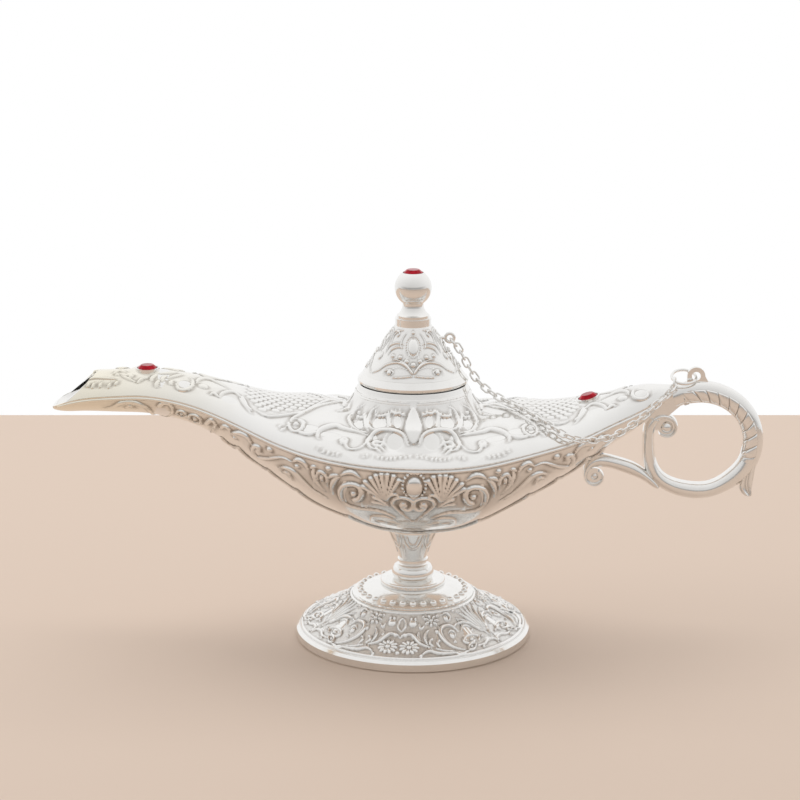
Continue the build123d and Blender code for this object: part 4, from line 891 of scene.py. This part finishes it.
def blurred(field, span):
    """Box blur of a grid of heights."""
    for axis in (0, 1):
        padded = np.pad(field, [(span + 1, span) if k == axis else (0, 0) for k in (0, 1)], "edge")
        summed = np.cumsum(padded, axis)
        count = field.shape[axis]
        upper = np.take(summed, np.arange(2 * span + 1, 2 * span + 1 + count), axis)
        lower = np.take(summed, np.arange(0, count), axis)
        field = (upper - lower) / (2 * span + 1)
    return field


def corners_of(height):
    """How deep in a corner each point lies: below its near and its wider surroundings. This is the mask of
    the painted shade.
    """
    corner = 0 * height
    for span, gain, share in CORNERS:
        corner += np.clip((blurred(height, span) - height) * gain, 0, 1) * share
    return np.clip(corner, 0, 1)


def grid_normals(points):
    """Unit normals of a grid of points."""
    along = np.gradient(points, axis=0)
    across = np.gradient(points, axis=1)
    normal = np.cross(along, across)
    return normal / (np.linalg.norm(normal, axis=2, keepdims=True) + 1e-12)


def ring_normals(points):
    """Unit normals of a grid whose last column meets its first."""
    return grid_normals(np.concatenate([points[-1:], points, points[:1]], axis=0))[1:-1]


def frame_at(surface, place, share, steps):
    """A place on a surface with its two directions along it."""
    here = surface(np.array(place), np.array(share))
    along = surface(np.array(place + steps[0]), np.array(share)) - here
    across = surface(np.array(place), np.array(share + steps[1])) - here
    along /= np.linalg.norm(along)
    across -= along * (across @ along)
    return here, along, across / np.linalg.norm(across)


def heights_along(high, taper):
    """Height along a stroke, whose thin ends are lower."""
    return high * (END_HEIGHT + (1 - END_HEIGHT) * taper)


def ends_of(mirror, course):
    """A course, and its copy on the rear half where the ornament repeats."""
    return [course, [(-x, share) for x, share in course]] if mirror else [course]


def lay_strokes(relief, surface, strokes, broad):
    """Strokes on hull or deck."""
    for wide, high, kind, mirror, course in strokes:
        for copy in ends_of(mirror, course):
            places = smooth_course(copy)
            path = surface(places[:, 0], np.clip(places[:, 1], -0.02, 1.02))
            taper = taper_of(kind, np.linspace(0, 1, len(path)))
            relief.stroke(path, broad * wide * taper, heights_along(high, taper))


def lay_bosses(relief, surface, bosses):
    """Bosses on hull or deck."""
    for x, share, a, b, high, mirror in bosses:
        for (place, at), in ends_of(mirror, [(x, share)]):
            relief.boss(*frame_at(surface, place, at, LAMP_STEPS), a, b, high)


def turned_strokes(relief, surface, strokes, turns):
    """Strokes repeated around the axis; each panel holds a stroke and its mirror image."""
    for wide, high, kind, course in strokes:
        places = smooth_course(course)
        taper = taper_of(kind, np.linspace(0, 1, len(places)))
        for turn in turns:
            for side in (1, -1):
                path = surface(turn + side * places[:, 0], np.clip(places[:, 1], 0.02, 0.98))
                relief.stroke(path, wide * taper, heights_along(high, taper))


def turned_bosses(relief, surface, bosses, turns):
    """Bosses repeated around the axis, twice in a panel where they stand off its middle."""
    for turn in turns:
        for place, at, a, b, high in bosses:
            for side in (1, -1) if place else (1,):
                relief.boss(*frame_at(surface, turn + side * place, at, TURN_STEPS), a, b, high)


def clear_of_chain(points, lift):
    """Keeps the ornament under the chain: the lift is cut back to the room there is."""
    spots = [v.co / MM for name in frame["nodes"] if name.startswith("chain_")
             for v in frame["nodes"][name].data.vertices]
    tree = KDTree(len(spots))
    for i, spot in enumerate(spots):
        tree.insert(spot, i)
    tree.balance()
    flat = points.reshape(-1, 3)
    low, high = np.min(spots, axis=0) - CHAIN_NEAR, np.max(spots, axis=0) + CHAIN_NEAR
    cut = lift.reshape(-1).copy()
    for i in np.flatnonzero(((flat > low) & (flat < high)).all(1)):
        room = tree.find(flat[i])[2] - CHAIN_AIR
        if room < cut[i]:
            cut[i] = max(room, LEAST_LIFT)
    return cut.reshape(lift.shape)


def tree_of(name):
    """Search tree over a solid's faces, in metres."""
    mesh = frame["nodes"][name].data
    return BVHTree.FromPolygons([v.co for v in mesh.vertices], [p.vertices for p in mesh.polygons])


def on_solid(points, normal, name, wanted):
    """Moves the wanted points of a grid along their normals onto the solid's own face."""
    tree = tree_of(name)
    shift = np.zeros(points.shape[:2])
    for i, j in np.argwhere(wanted):
        way = normal[i, j]
        start = Vector((points[i, j] + way * RAY_START) * MM)
        hit = tree.ray_cast(start, Vector(-way), 2 * RAY_START * MM)[3]
        if hit is not None:
            shift[i, j] = np.clip(RAY_START - hit / MM, -SEAT_SHIFT, SEAT_SHIFT)
    return points + normal * blurred(shift, 1)[..., None]


def put(name, mesh):
    thing = bpy.data.objects.new(name, mesh)
    bpy.context.scene.collection.objects.link(thing)
    return thing


def soften(bm, sharp):
    """Smooth faces, with the edges from an angle in degrees upward left sharp."""
    for face in bm.faces:
        face.smooth = True
    for edge in bm.edges:
        if len(edge.link_faces) == 2 and edge.calc_face_angle(0) > math.radians(sharp):
            edge.smooth = False


def closed_skin(name, outer, out, corner, ground=None, around=False, wall=0.4, inner_rows=6):
    """A closed thin shell: a dense outer grid, and a few rows behind it."""
    normal = grid_normals(outer)
    if np.sum(normal * out) < 0:
        normal = -normal
    pick = np.linspace(outer.shape[1] - 1, 0, inner_rows).round().astype(int)
    ring = np.concatenate([outer, (outer - normal * wall)[:, pick], outer[:, :1]], axis=1)
    filler = np.zeros((outer.shape[0], inner_rows + 1))
    # corner holds the mask of the painted shade, ground marks the stippled ground
    marks = {"corner": np.concatenate([corner, filler], axis=1)}
    marks["ground"] = 0 * marks["corner"] if ground is None else np.concatenate([ground, filler], axis=1)
    if around:
        ring = np.concatenate([ring, ring[:1]], axis=0)
        marks = {label: np.concatenate([full, full[:1]], axis=0) for label, full in marks.items()}
    bm = bmesh.new()
    bmesh.ops.create_grid(
        bm, x_segments=ring.shape[1] - 1, y_segments=ring.shape[0] - 1, size=1)
    mesh = bpy.data.meshes.new(name)
    bm.to_mesh(mesh)
    bm.free()
    mesh.vertices.foreach_set("co", (ring * MM).reshape(-1).astype(np.float32))
    for label, values in marks.items():
        layer = mesh.attributes.new(label, "FLOAT", "POINT")
        layer.data.foreach_set("value", values.reshape(-1).astype(np.float32))
    bm = bmesh.new()
    bm.from_mesh(mesh)
    bmesh.ops.remove_doubles(bm, verts=bm.verts, dist=SKIN_WELD)
    edges = [e for e in bm.edges if e.is_boundary]
    if edges:
        bmesh.ops.holes_fill(bm, edges=edges, sides=0)
    bmesh.ops.recalc_face_normals(bm, faces=bm.faces)
    soften(bm, SKIN_SHARP)
    bm.to_mesh(mesh)
    bm.free()
    mesh.update()
    return put(name, mesh)


def far_copy(thing, name):
    """The same piece on the far side."""
    bm = bmesh.new()
    bm.from_mesh(thing.data)
    bmesh.ops.scale(bm, vec=(1, -1, 1), verts=bm.verts)
    bmesh.ops.recalc_face_normals(bm, faces=bm.faces)
    mesh = thing.data.copy()
    mesh.name = name
    bm.to_mesh(mesh)
    bm.free()
    return put(name, mesh)


def lathe(name, profile, steps):
    """A closed ring spun from a closed profile of radius and height in mm."""
    bm = bmesh.new()
    verts = [bm.verts.new((r * MM, 0, z * MM)) for r, z in profile]
    edges = [bm.edges.new((a, b)) for a, b in zip(verts, verts[1:] + verts[:1])]
    bmesh.ops.spin(bm, geom=verts + edges, cent=(0, 0, 0), axis=(0, 0, 1), angle=2 * math.pi,
                   steps=steps, use_merge=True)
    bmesh.ops.remove_doubles(bm, verts=bm.verts, dist=RING_WELD)
    bmesh.ops.recalc_face_normals(bm, faces=bm.faces)
    soften(bm, RING_SHARP)
    mesh = bpy.data.meshes.new(name)
    bm.to_mesh(mesh)
    bm.free()
    return put(name, mesh)


def finish_piece(thing, body, material):
    thing.data.materials.clear()
    thing.data.materials.append(bpy.data.materials[material])
    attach(thing, body)


def both_sides(name, *skin, **options):
    """A chased skin of the lamp on the near side and its copy on the far side."""
    near = closed_skin(name + "_near", *skin, **options)
    for thing in (near, far_copy(near, name + "_far")):
        finish_piece(thing, "lamp", "chased_silver")


class LAMP_OT_hull_ornament(bpy.types.Operator):
    """Chased ornament on both sides of the hull"""

    bl_idname = "oil_lamp.hull_ornament"
    bl_label = "Hull ornament"

    def execute(self, context):
        finish = context.scene.lamp_finish
        columns = np.linspace(-SPOUT_REACH + SPOUT_SET_BACK, HEEL_REACH - HEEL_SET_BACK, HULL_GRID[0])
        shares = np.linspace(SEAM_SHARE, 1.0, HULL_GRID[1])
        x, share = np.meshgrid(columns, shares, indexing="ij")
        base = hull_point(x, share)
        relief = Relief(base)
        lay_strokes(relief, hull_point, HULL_STROKES, HULL_BREADTH)
        lay_bosses(relief, hull_point, HULL_BOSSES)
        lay_bosses(relief, hull_point, [(*place, *BEAD, 0) for place in HULL_BEADS])
        self.rings(relief)
        self.fans(relief)
        self.seam_line(relief)
        height = relief.total(finish.relief)
        keep = fade(np.hypot(base[..., 0], base[..., 1]), *PAD_FADE)
        keep *= fade(x, -SPOUT_REACH, SPOUT_FADE)
        lift = clear_of_chain(base, finish.lift / MM + height * keep)
        # rows run from the seam down, so the grid's own normals look into the hull
        out = -grid_normals(base)
        # painted shade in the corners of the ornament
        corner = corners_of(height) * keep * HULL_SHADE
        both_sides("hull_ornament", base + out * lift[..., None], out, corner)
        return {"FINISHED"}

    def rings(self, relief):
        turn = np.linspace(0, 2 * np.pi, RING_POINTS)[:, None]
        for place, at, radius, wide, high in HULL_RINGS:
            here, along, across = frame_at(hull_point, place, at, LAMP_STEPS)
            path = here + radius * (np.cos(turn) * along + np.sin(turn) * across)
            relief.line(path, wide, high)

    def fans(self, relief):
        grow = np.linspace(0, 1, FAN_POINTS)
        wide = FAN_WIDTH[0] + FAN_WIDTH[1] * grow ** 1.2
        high = FAN_HEIGHT[0] + FAN_HEIGHT[1] * grow
        for side in (1, -1):
            for tip in FAN_TIPS:
                places = np.linspace(FAN_ROOT, tip, len(grow))
                relief.stroke(hull_point(places[:, 0] * side, places[:, 1]), wide, high)

    def seam_line(self, relief):
        drop, wide, high = SEAM_BEAD
        along = np.linspace(
            -SPOUT_REACH + SEAM_BEAD_INSET, HEEL_REACH - SEAM_BEAD_INSET, SEAM_BEAD_POINTS)
        share = drop / np.maximum(hull_depth(along) + half_width(along), SEAM_GIRTH_LEAST)
        relief.line(hull_point(along, share), wide, high)


def neck_ring(points):
    """Moves what would cross the neck's mouth into the neck's wall."""
    x, y = points[..., 0], points[..., 1]
    inner, outer = NECK_SEAT
    # where the ray from a point behind the mouth leaves its circle
    rise = y - MOUTH_BACK
    a = x * x + rise * rise
    b = 2 * MOUTH_BACK * rise
    c = MOUTH_BACK ** 2 - outer ** 2
    leave = (-b + np.sqrt(np.maximum(b * b - 4 * a * c, 0))) / (2 * a)
    enter = np.where(rise < -1e-6, -MOUTH_BACK / np.minimum(rise, -1e-6), 1)
    angle = np.arctan2(MOUTH_BACK + rise * leave, x * leave)
    depth = np.clip((1 - enter) / np.maximum(leave - enter, 1e-6), 0, 1)
    ring = inner + (outer - inner) * depth
    z = flare_height(np.full_like(x, outer)) - NECK_SEAT_DROP * (1 - depth)
    moved = np.stack([ring * np.cos(angle), ring * np.sin(angle), z], -1)
    return np.where((np.hypot(x, y) < outer)[..., None], moved, points)


def hood_start(share):
    """Where the hood's slanting front edge cuts the deck at a share of the way up."""
    x = np.full_like(share, HOOD_CREST[0])
    slope = (HOOD_CREST[0] - HOOD_FOOT[0]) / (HOOD_CREST[1] - HOOD_FOOT[1])
    for _ in range(HOOD_ROUNDS):
        z = deck_point(x, share)[..., 2]
        x = 0.5 * x + 0.5 * (HOOD_FOOT[0] + (z - HOOD_FOOT[1]) * slope + HOOD_SET_BACK)
    return x


class LAMP_OT_deck_ornament(bpy.types.Operator):
    """Chased ornament on both sides of the deck"""

    bl_idname = "oil_lamp.deck_ornament"
    bl_label = "Deck ornament"

    def execute(self, context):
        finish = context.scene.lamp_finish
        shares = np.linspace(SEAM_SHARE, 1.0, DECK_GRID[1])
        start = hood_start(shares)
        x = start + (HEEL_REACH - HEEL_SET_BACK - start) * np.linspace(0, 1, DECK_GRID[0])[:, None]
        base = deck_point(x, np.broadcast_to(shares, x.shape))
        relief = Relief(base)
        lay_strokes(relief, deck_point, DECK_STROKES, DECK_BREADTH)
        lay_bosses(relief, deck_point, DECK_BOSSES)
        lay_bosses(relief, deck_point, [(*place, *PEARL, 1) for place in DECK_PEARLS])
        lay_bosses(relief, deck_point, [(*place, *DROP, 1) for place in DECK_DROPS])
        self.scales(relief)
        height = relief.total(finish.relief)
        radius = np.hypot(base[..., 0], base[..., 1])
        keep = fade(radius, *NECK_FADE)
        for stone_x in STONE_PLACES:
            keep = keep * fade(np.hypot(base[..., 0] - stone_x, base[..., 1]), *STONE_FADE)
        out = grid_normals(base)
        seat = on_solid(
            base, out, "upper_shell", (radius > FLARE_ZONE[0]) & (radius < FLARE_ZONE[1]))
        lift = clear_of_chain(seat, finish.lift / MM + height * keep)
        # painted shade in the corners of the ornament
        corner = corners_of(height) * keep * DECK_SHADE
        both_sides("deck_ornament", neck_ring(seat + out * lift[..., None]), out, corner,
                   inner_rows=DECK_INNER_ROWS)
        return {"FINISHED"}

    def scales(self, relief):
        """Fish scales between the crest and the long curved band."""
        edge_x, edge_share = zip(*SCALE_EDGE)
        low, high = SCALE_REACH
        for side in (1, -1):
            for row in range(SCALE_ROWS):
                share = SCALE_TOP_ROW - row * SCALE_ROW_STEP
                for column in SCALE_COLUMNS:
                    x = SCALE_MIDDLE + (column + 0.5 * (row % 2)) * SCALE_PITCH
                    edge = np.interp(x, edge_x, edge_share) + SCALE_EDGE_GAP
                    if low < x < high and share >= edge:
                        place = frame_at(deck_point, x * side, share, LAMP_STEPS)
                        relief.boss(*place, *SCALE, SCALE_ROUNDING)


class LAMP_OT_neck_band(bpy.types.Operator):
    """Plain band of the neck with its turned lines"""

    bl_idname = "oil_lamp.neck_band"
    bl_label = "Neck band"

    def execute(self, context):
        band = lathe("neck_band", NECK_PROFILE, NECK_SEGMENTS)
        finish_piece(band, "lamp", "polished_silver")
        return {"FINISHED"}


def turned_grid(surface, grid, low=0.0, high=1.0):
    """Shares and points all round a turned surface."""
    turns = np.linspace(0, 360, grid[0], endpoint=False)
    turn, share = np.meshgrid(turns, np.linspace(low, high, grid[1]), indexing="ij")
    return share, surface(turn, share)


class LAMP_OT_foot_ornament(bpy.types.Operator):
    """Fans, flowers and sprays round the foot"""

    bl_idname = "oil_lamp.foot_ornament"
    bl_label = "Foot ornament"

    def execute(self, context):
        finish = context.scene.lamp_finish
        share, base = turned_grid(foot_point, FOOT_GRID)
        relief = Relief(base)
        turned_strokes(relief, foot_point, FOOT_STROKES, FOOT_PANELS)
        drops = [(*drop, FOOT_DROP_HEIGHT) for drop in FOOT_DROPS]
        turned_bosses(relief, foot_point, drops, FOOT_PANELS)
        for middle in FOOT_PANELS:
            for side in (1, -1):
                for place, at, petals, size in FOOT_FLOWERS:
                    self.flower(relief, middle + side * place, at, petals, size)
        turns = np.linspace(0, 360, FOOT_LINE_POINTS)
        for at, wide, high in FOOT_LINES:
            relief.line(foot_point(turns, np.full_like(turns, at)), wide, high)
        height = relief.total(finish.relief)
        edge = fade(np.minimum(share, 1 - share), 0, TURNED_FADE)
        out = ring_normals(base)
        ground = np.clip(1 - height * FOOT_GROUND_GAIN, 0, 1) * edge
        skin = closed_skin(
            "foot_ornament", base + out * (FOOT_LIFT + height * edge)[..., None], out,
            corners_of(height), ground, around=True, wall=FOOT_WALL)
        finish_piece(skin, "lamp", "stippled_silver")
        return {"FINISHED"}

    def flower(self, relief, place, at, petals, size):
        here, along, across = frame_at(foot_point, place, at, TURN_STEPS)
        heart = size * FOOT_HEART
        relief.boss(here, along, across, heart, heart, FOOT_HEART_HEIGHT)
        wide = np.array(FOOT_PETAL_WIDTH) * size / FOOT_PETAL_RADIUS
        reach = np.linspace(FOOT_PETAL_START, 1.0, len(wide))[:, None]
        for k in range(petals):
            angle = 2 * math.pi * k / petals
            out = math.cos(angle) * along + math.sin(angle) * across
            relief.stroke(here + reach * size * out, wide, np.array(FOOT_PETAL_HEIGHT))


class LAMP_OT_lid_ornament(bpy.types.Operator):
    """Three chased panels round the lid's cone"""

    bl_idname = "oil_lamp.lid_ornament"
    bl_label = "Lid ornament"

    def execute(self, context):
        finish = context.scene.lamp_finish
        share, base = turned_grid(lid_point, LID_GRID)
        relief = Relief(base)
        turned_strokes(relief, lid_point, LID_STROKES, LID_PANELS)
        turned_bosses(relief, lid_point, LID_BOSSES, LID_PANELS)
        at, half_width_mm, half_height_mm = LID_CABOCHON
        for middle in LID_PANELS:
            here, along, across = frame_at(lid_point, middle, at, TURN_STEPS)
            for k in range(LID_BEADS):
                angle = 2 * math.pi * k / LID_BEADS
                spot = (here + half_width_mm * math.cos(angle) * along
                        + half_height_mm * math.sin(angle) * across)
                relief.boss(spot, along, across, *LID_BEAD)
        height = relief.total(finish.relief)
        edge = fade(np.minimum(share, 1 - share), 0, TURNED_FADE)
        lift = clear_of_chain(base, LID_LIFT + height * edge)
        out = ring_normals(base)
        skin = closed_skin(
            "lid_ornament", base + out * lift[..., None], out, corners_of(height), around=True)
        finish_piece(skin, "lid", "chased_silver")
        return {"FINISHED"}


class LAMP_OT_cup_petals(bpy.types.Operator):
    """Petals chased round the stem's cup"""

    bl_idname = "oil_lamp.cup_petals"
    bl_label = "Cup petals"

    def execute(self, context):
        finish = context.scene.lamp_finish
        low, high = CUP_SPAN
        share, base = turned_grid(cup_point, CUP_GRID, low, high)
        relief = Relief(base)
        turned_strokes(relief, cup_point, CUP_STROKES, CUP_PANELS)
        height = relief.total(finish.relief)
        edge = fade(np.minimum(share - low, high - share), 0, CUP_FADE)
        out = ring_normals(base)
        skin = closed_skin(
            "cup_petals", base + out * (CUP_LIFT + height * edge)[..., None], out,
            corners_of(height), around=True, wall=CUP_WALL)
        finish_piece(skin, "lamp", "chased_silver")
        return {"FINISHED"}


def resampled(course, travel, at):
    """Places along a course of x and z, where its travel reaches the wanted values."""
    return np.stack([np.interp(at, travel, course[:, k]) for k in (0, 1)], -1)


class LAMP_OT_handle_rope(bpy.types.Operator):
    """Slanting gadroons along the hoop's inner face"""

    bl_idname = "oil_lamp.handle_rope"
    bl_label = "Handle rope"

    def execute(self, context):
        travel, turn, base, out = self.band()
        away = np.abs(turn)[None, :]
        u = (travel[:, None] + ROPE_SLANT * away) / ROPE_PITCH
        lobe = 1 - np.abs(2 * (u - np.floor(u)) - 1) ** 5
        ends = fade(np.minimum(travel, travel[-1] - travel), 0, ROPE_END_FADE)[:, None]
        lip = math.radians(ROPE_LIP)
        sides = fade(np.minimum(away - lip, turn[-1] - away), 0, ROPE_SIDE_FADE)
        plain = 0.5 * fade(lip - away, 0, ROPE_SIDE_FADE)
        height = ROPE_HEIGHT * (lobe * sides + plain) * ends
        outer = base + out * (ROPE_LIFT + height)[..., None]
        rope = closed_skin("handle_rope", outer, out, corners_of(height * ROPE_SHADE))
        finish_piece(rope, "lamp", "chased_silver")
        return {"FINISHED"}

    def band(self):
        """Points of the hoop's face round its inner middle, and the ways out of it there."""
        line = smooth_course(HOOP_LINE, 30) * MM
        steps = np.linalg.norm(np.diff(line, axis=0), axis=1)
        steps = np.concatenate([[0], np.cumsum(steps)]) / MM
        travel = np.linspace(0, steps[-1], ROPE_GRID[0])
        middle = resampled(line, steps, travel)
        tangent = np.gradient(middle, axis=0)
        tangent /= np.linalg.norm(tangent, axis=1, keepdims=True)
        # the line runs clockwise, so its right-hand side looks into the hoop
        inward = np.stack([tangent[:, 1], 0 * travel, -tangent[:, 0]], -1)
        seat = np.stack([middle[:, 0], 0 * travel, middle[:, 1]], -1)
        turn = np.radians(np.linspace(-ROPE_REACH, ROPE_REACH, ROPE_GRID[1]))
        tree = tree_of("handle")
        base = np.zeros((*ROPE_GRID, 3))
        out = np.zeros_like(base)
        start, reach = HOOP_RAY
        for i, (spot, side) in enumerate(zip(seat, inward)):
            for j, angle in enumerate(turn):
                way = math.cos(angle) * side + math.sin(angle) * np.array([0, -1, 0])
                hit = tree.ray_cast(Vector(spot + way * start * MM), Vector(-way), reach * MM)[0]
                base[i, j] = spot / MM + way * HOOP_HALF if hit is None else np.array(hit) / MM
                out[i, j] = way
        return travel, turn, base, out


class LAMP_OT_handle_leaf(bpy.types.Operator):
    """Hollowed leaf at the hoop's rear, on both faces"""

    bl_idname = "oil_lamp.handle_leaf"
    bl_label = "Handle leaf"

    def execute(self, context):
        u = np.linspace(0, 1, LEAF_GRID[0])
        courses = [smooth_course(course, 20) for course in (LEAF_OUTSIDE, LEAF_INSIDE)]
        outside, inside = [resampled(c, np.linspace(0, 1, len(c)), u)[:, None] for c in courses]
        v = np.linspace(LEAF_MARGIN, 1 - LEAF_MARGIN, LEAF_GRID[1])[None, :, None]
        flat = outside * (1 - v) + inside * v
        across = np.abs(np.linspace(-1, 1, LEAF_GRID[1])[None, :])
        rim = fade(1 - across, 0, LEAF_RIM_SLOPE) * np.clip(across * LEAF_HOLLOW, 0, 1) ** 2
        vein = LEAF_VEIN[0] * np.clip(1 - across / LEAF_VEIN[1], 0, 1)
        ends = fade(np.minimum(u, 1 - u), 0, LEAF_END_FADE)[:, None]
        height = LEAF_RIM * np.maximum(rim, vein) * ends
        outer = np.stack([flat[..., 0], -LEAF_HALF_WIDTH - LEAF_LIFT - height, flat[..., 1]], -1)
        both_sides("handle_leaf", outer, np.array([0, -1, 0]), corners_of(height))
        return {"FINISHED"}


class LAMP_OT_plate(bpy.types.Operator):
    """Makes the finishes and gives every solid its own"""

    bl_idname = "oil_lamp.plate"
    bl_label = "Plate the solids"

    def execute(self, context):
        finish = context.scene.lamp_finish
        plain_silver(finish, "polished_silver", finish.gloss)
        plain_silver(finish, "chain_silver", CHAIN_ROUGHNESS)
        chased_silver(finish)
        stippled_silver(finish)
        brushed_steel(finish)
        red_stone(finish)
        slots = {sub["node"]: sub["material_slot"] for sub in frame["record"]["subparts"]}
        for name, node in frame["nodes"].items():
            node.data.materials.clear()
            node.data.materials.append(bpy.data.materials[SOLID_FINISH[slots[name]]])
        return {"FINISHED"}


class LAMP_OT_stage(bpy.types.Operator):
    """Floor, soft light and camera"""

    bl_idname = "oil_lamp.stage"
    bl_label = "Stage"

    def execute(self, context):
        scene = context.scene
        stage = scene.lamp_stage
        scene.view_settings.view_transform = "Standard"
        self.floor(stage)
        self.world(scene, stage)
        self.lamps(scene, stage)
        self.camera(scene, stage)
        return {"FINISHED"}

    def floor(self, stage):
        bm = bmesh.new()
        bmesh.ops.create_grid(bm, x_segments=1, y_segments=1, size=1)
        bmesh.ops.scale(bm, vec=(*FLOOR_HALF, 1), verts=bm.verts)
        bmesh.ops.translate(bm, vec=(0, stage.floor_back - FLOOR_HALF[1], 0), verts=bm.verts)
        mesh = bpy.data.meshes.new("floor")
        bm.to_mesh(mesh)
        bm.free()
        floor = put("floor", mesh)
        shader = Shader("floor_plain")
        shader.set(Base_Color=tuple(stage.floor), Roughness=0.6)
        floor.data.materials.append(shader.material)

    def camera(self, scene, stage):
        camera = bpy.data.cameras.new("camera")
        camera.lens = stage.focal
        camera.sensor_width = SENSOR_WIDTH
        seat = put("camera", camera)
        back = Vector((0, -math.cos(stage.pitch), math.sin(stage.pitch))) * stage.distance
        seat.location = Vector(CAMERA_TARGET) * MM + back
        seat.rotation_euler = (math.pi / 2 - stage.pitch, 0, 0)
        scene.camera = seat

    def world(self, scene, stage):
        world = bpy.data.worlds.new("studio")
        scene.world = world
        world.use_nodes = True
        world.node_tree.nodes.clear()
        shader = Shader("studio", world.node_tree)
        _, y, z = shader.axes(shader.node("ShaderNodeTexCoord"))
        # the room behind the camera is darkest near the horizon
        band = (1 - abs(z - 0.06) * 7).clamp() * (y * -1.6).clamp()
        bright = (y * 0.2 + z * 0.15 + 0.8 - band * 0.45).clamp()
        studio = shader.node("ShaderNodeBackground", {}, {"Color": shader.blend(
            bright, (0.14, 0.13, 0.12, 1), (0.99, 0.99, 0.99, 1))})
        white = shader.node("ShaderNodeBackground", {}, {"Color": (1, 1, 1, 1)})
        room = shader.node(
            "ShaderNodeBackground", {}, {"Color": (1.0, 0.985, 0.965, 1), "Strength": stage.fill})
        glossy = shader.node("ShaderNodeLightPath", output="Is Glossy Ray")
        seen = shader.node("ShaderNodeLightPath", output="Is Camera Ray")
        light = shader.node("ShaderNodeMixShader", {}, [glossy, room, studio])
        light = shader.node("ShaderNodeMixShader", {}, [seen, light, white])
        shader.node("ShaderNodeOutputWorld", {}, [light], output=None)

    def lamps(self, scene, stage):
        for name, place, size, share in SOFTBOXES:
            light = bpy.data.lights.new(name, "AREA")
            light.energy = stage.key * share
            light.size = size
            seat = put(name, light)
            seat.location = place
            seat.visible_glossy = False
            aim = Vector(LAMP_AIM) - Vector(place)
            seat.rotation_euler = aim.to_track_quat("-Z", "Y").to_euler()


class LAMP_PT_panel(bpy.types.Panel):
    """Lists the lamp's pieces and finishes"""

    bl_idname = "LAMP_PT_panel"
    bl_label = "Oil Lamp"
    bl_space_type = "VIEW_3D"
    bl_region_type = "UI"
    bl_category = "Oil Lamp"

    def draw(self, context):
        for group in (context.scene.lamp_finish, context.scene.lamp_stage):
            for key in group.bl_rna.properties.keys():
                if key not in ("rna_type", "name"):
                    self.layout.prop(group, key)
        for operator in STEPS:
            self.layout.operator(operator.bl_idname)


STEPS = (
    LAMP_OT_stage,
    LAMP_OT_plate,
    LAMP_OT_hull_ornament,
    LAMP_OT_deck_ornament,
    LAMP_OT_neck_band,
    LAMP_OT_foot_ornament,
    LAMP_OT_lid_ornament,
    LAMP_OT_cup_petals,
    LAMP_OT_handle_rope,
    LAMP_OT_handle_leaf,
)
CLASSES = (LampFinish, LampStage, LAMP_PT_panel) + STEPS


def register():
    for kind in CLASSES:
        bpy.utils.register_class(kind)
    bpy.types.Scene.lamp_finish = PointerProperty(type=LampFinish)
    bpy.types.Scene.lamp_stage = PointerProperty(type=LampStage)


def unregister():
    del bpy.types.Scene.lamp_stage
    del bpy.types.Scene.lamp_finish
    for kind in reversed(CLASSES):
        bpy.utils.unregister_class(kind)


def main():
    register()
    for step in STEPS:
        group, name = step.bl_idname.split(".")
        getattr(getattr(bpy.ops, group), name)()


if __name__ == "__main__":
    main()
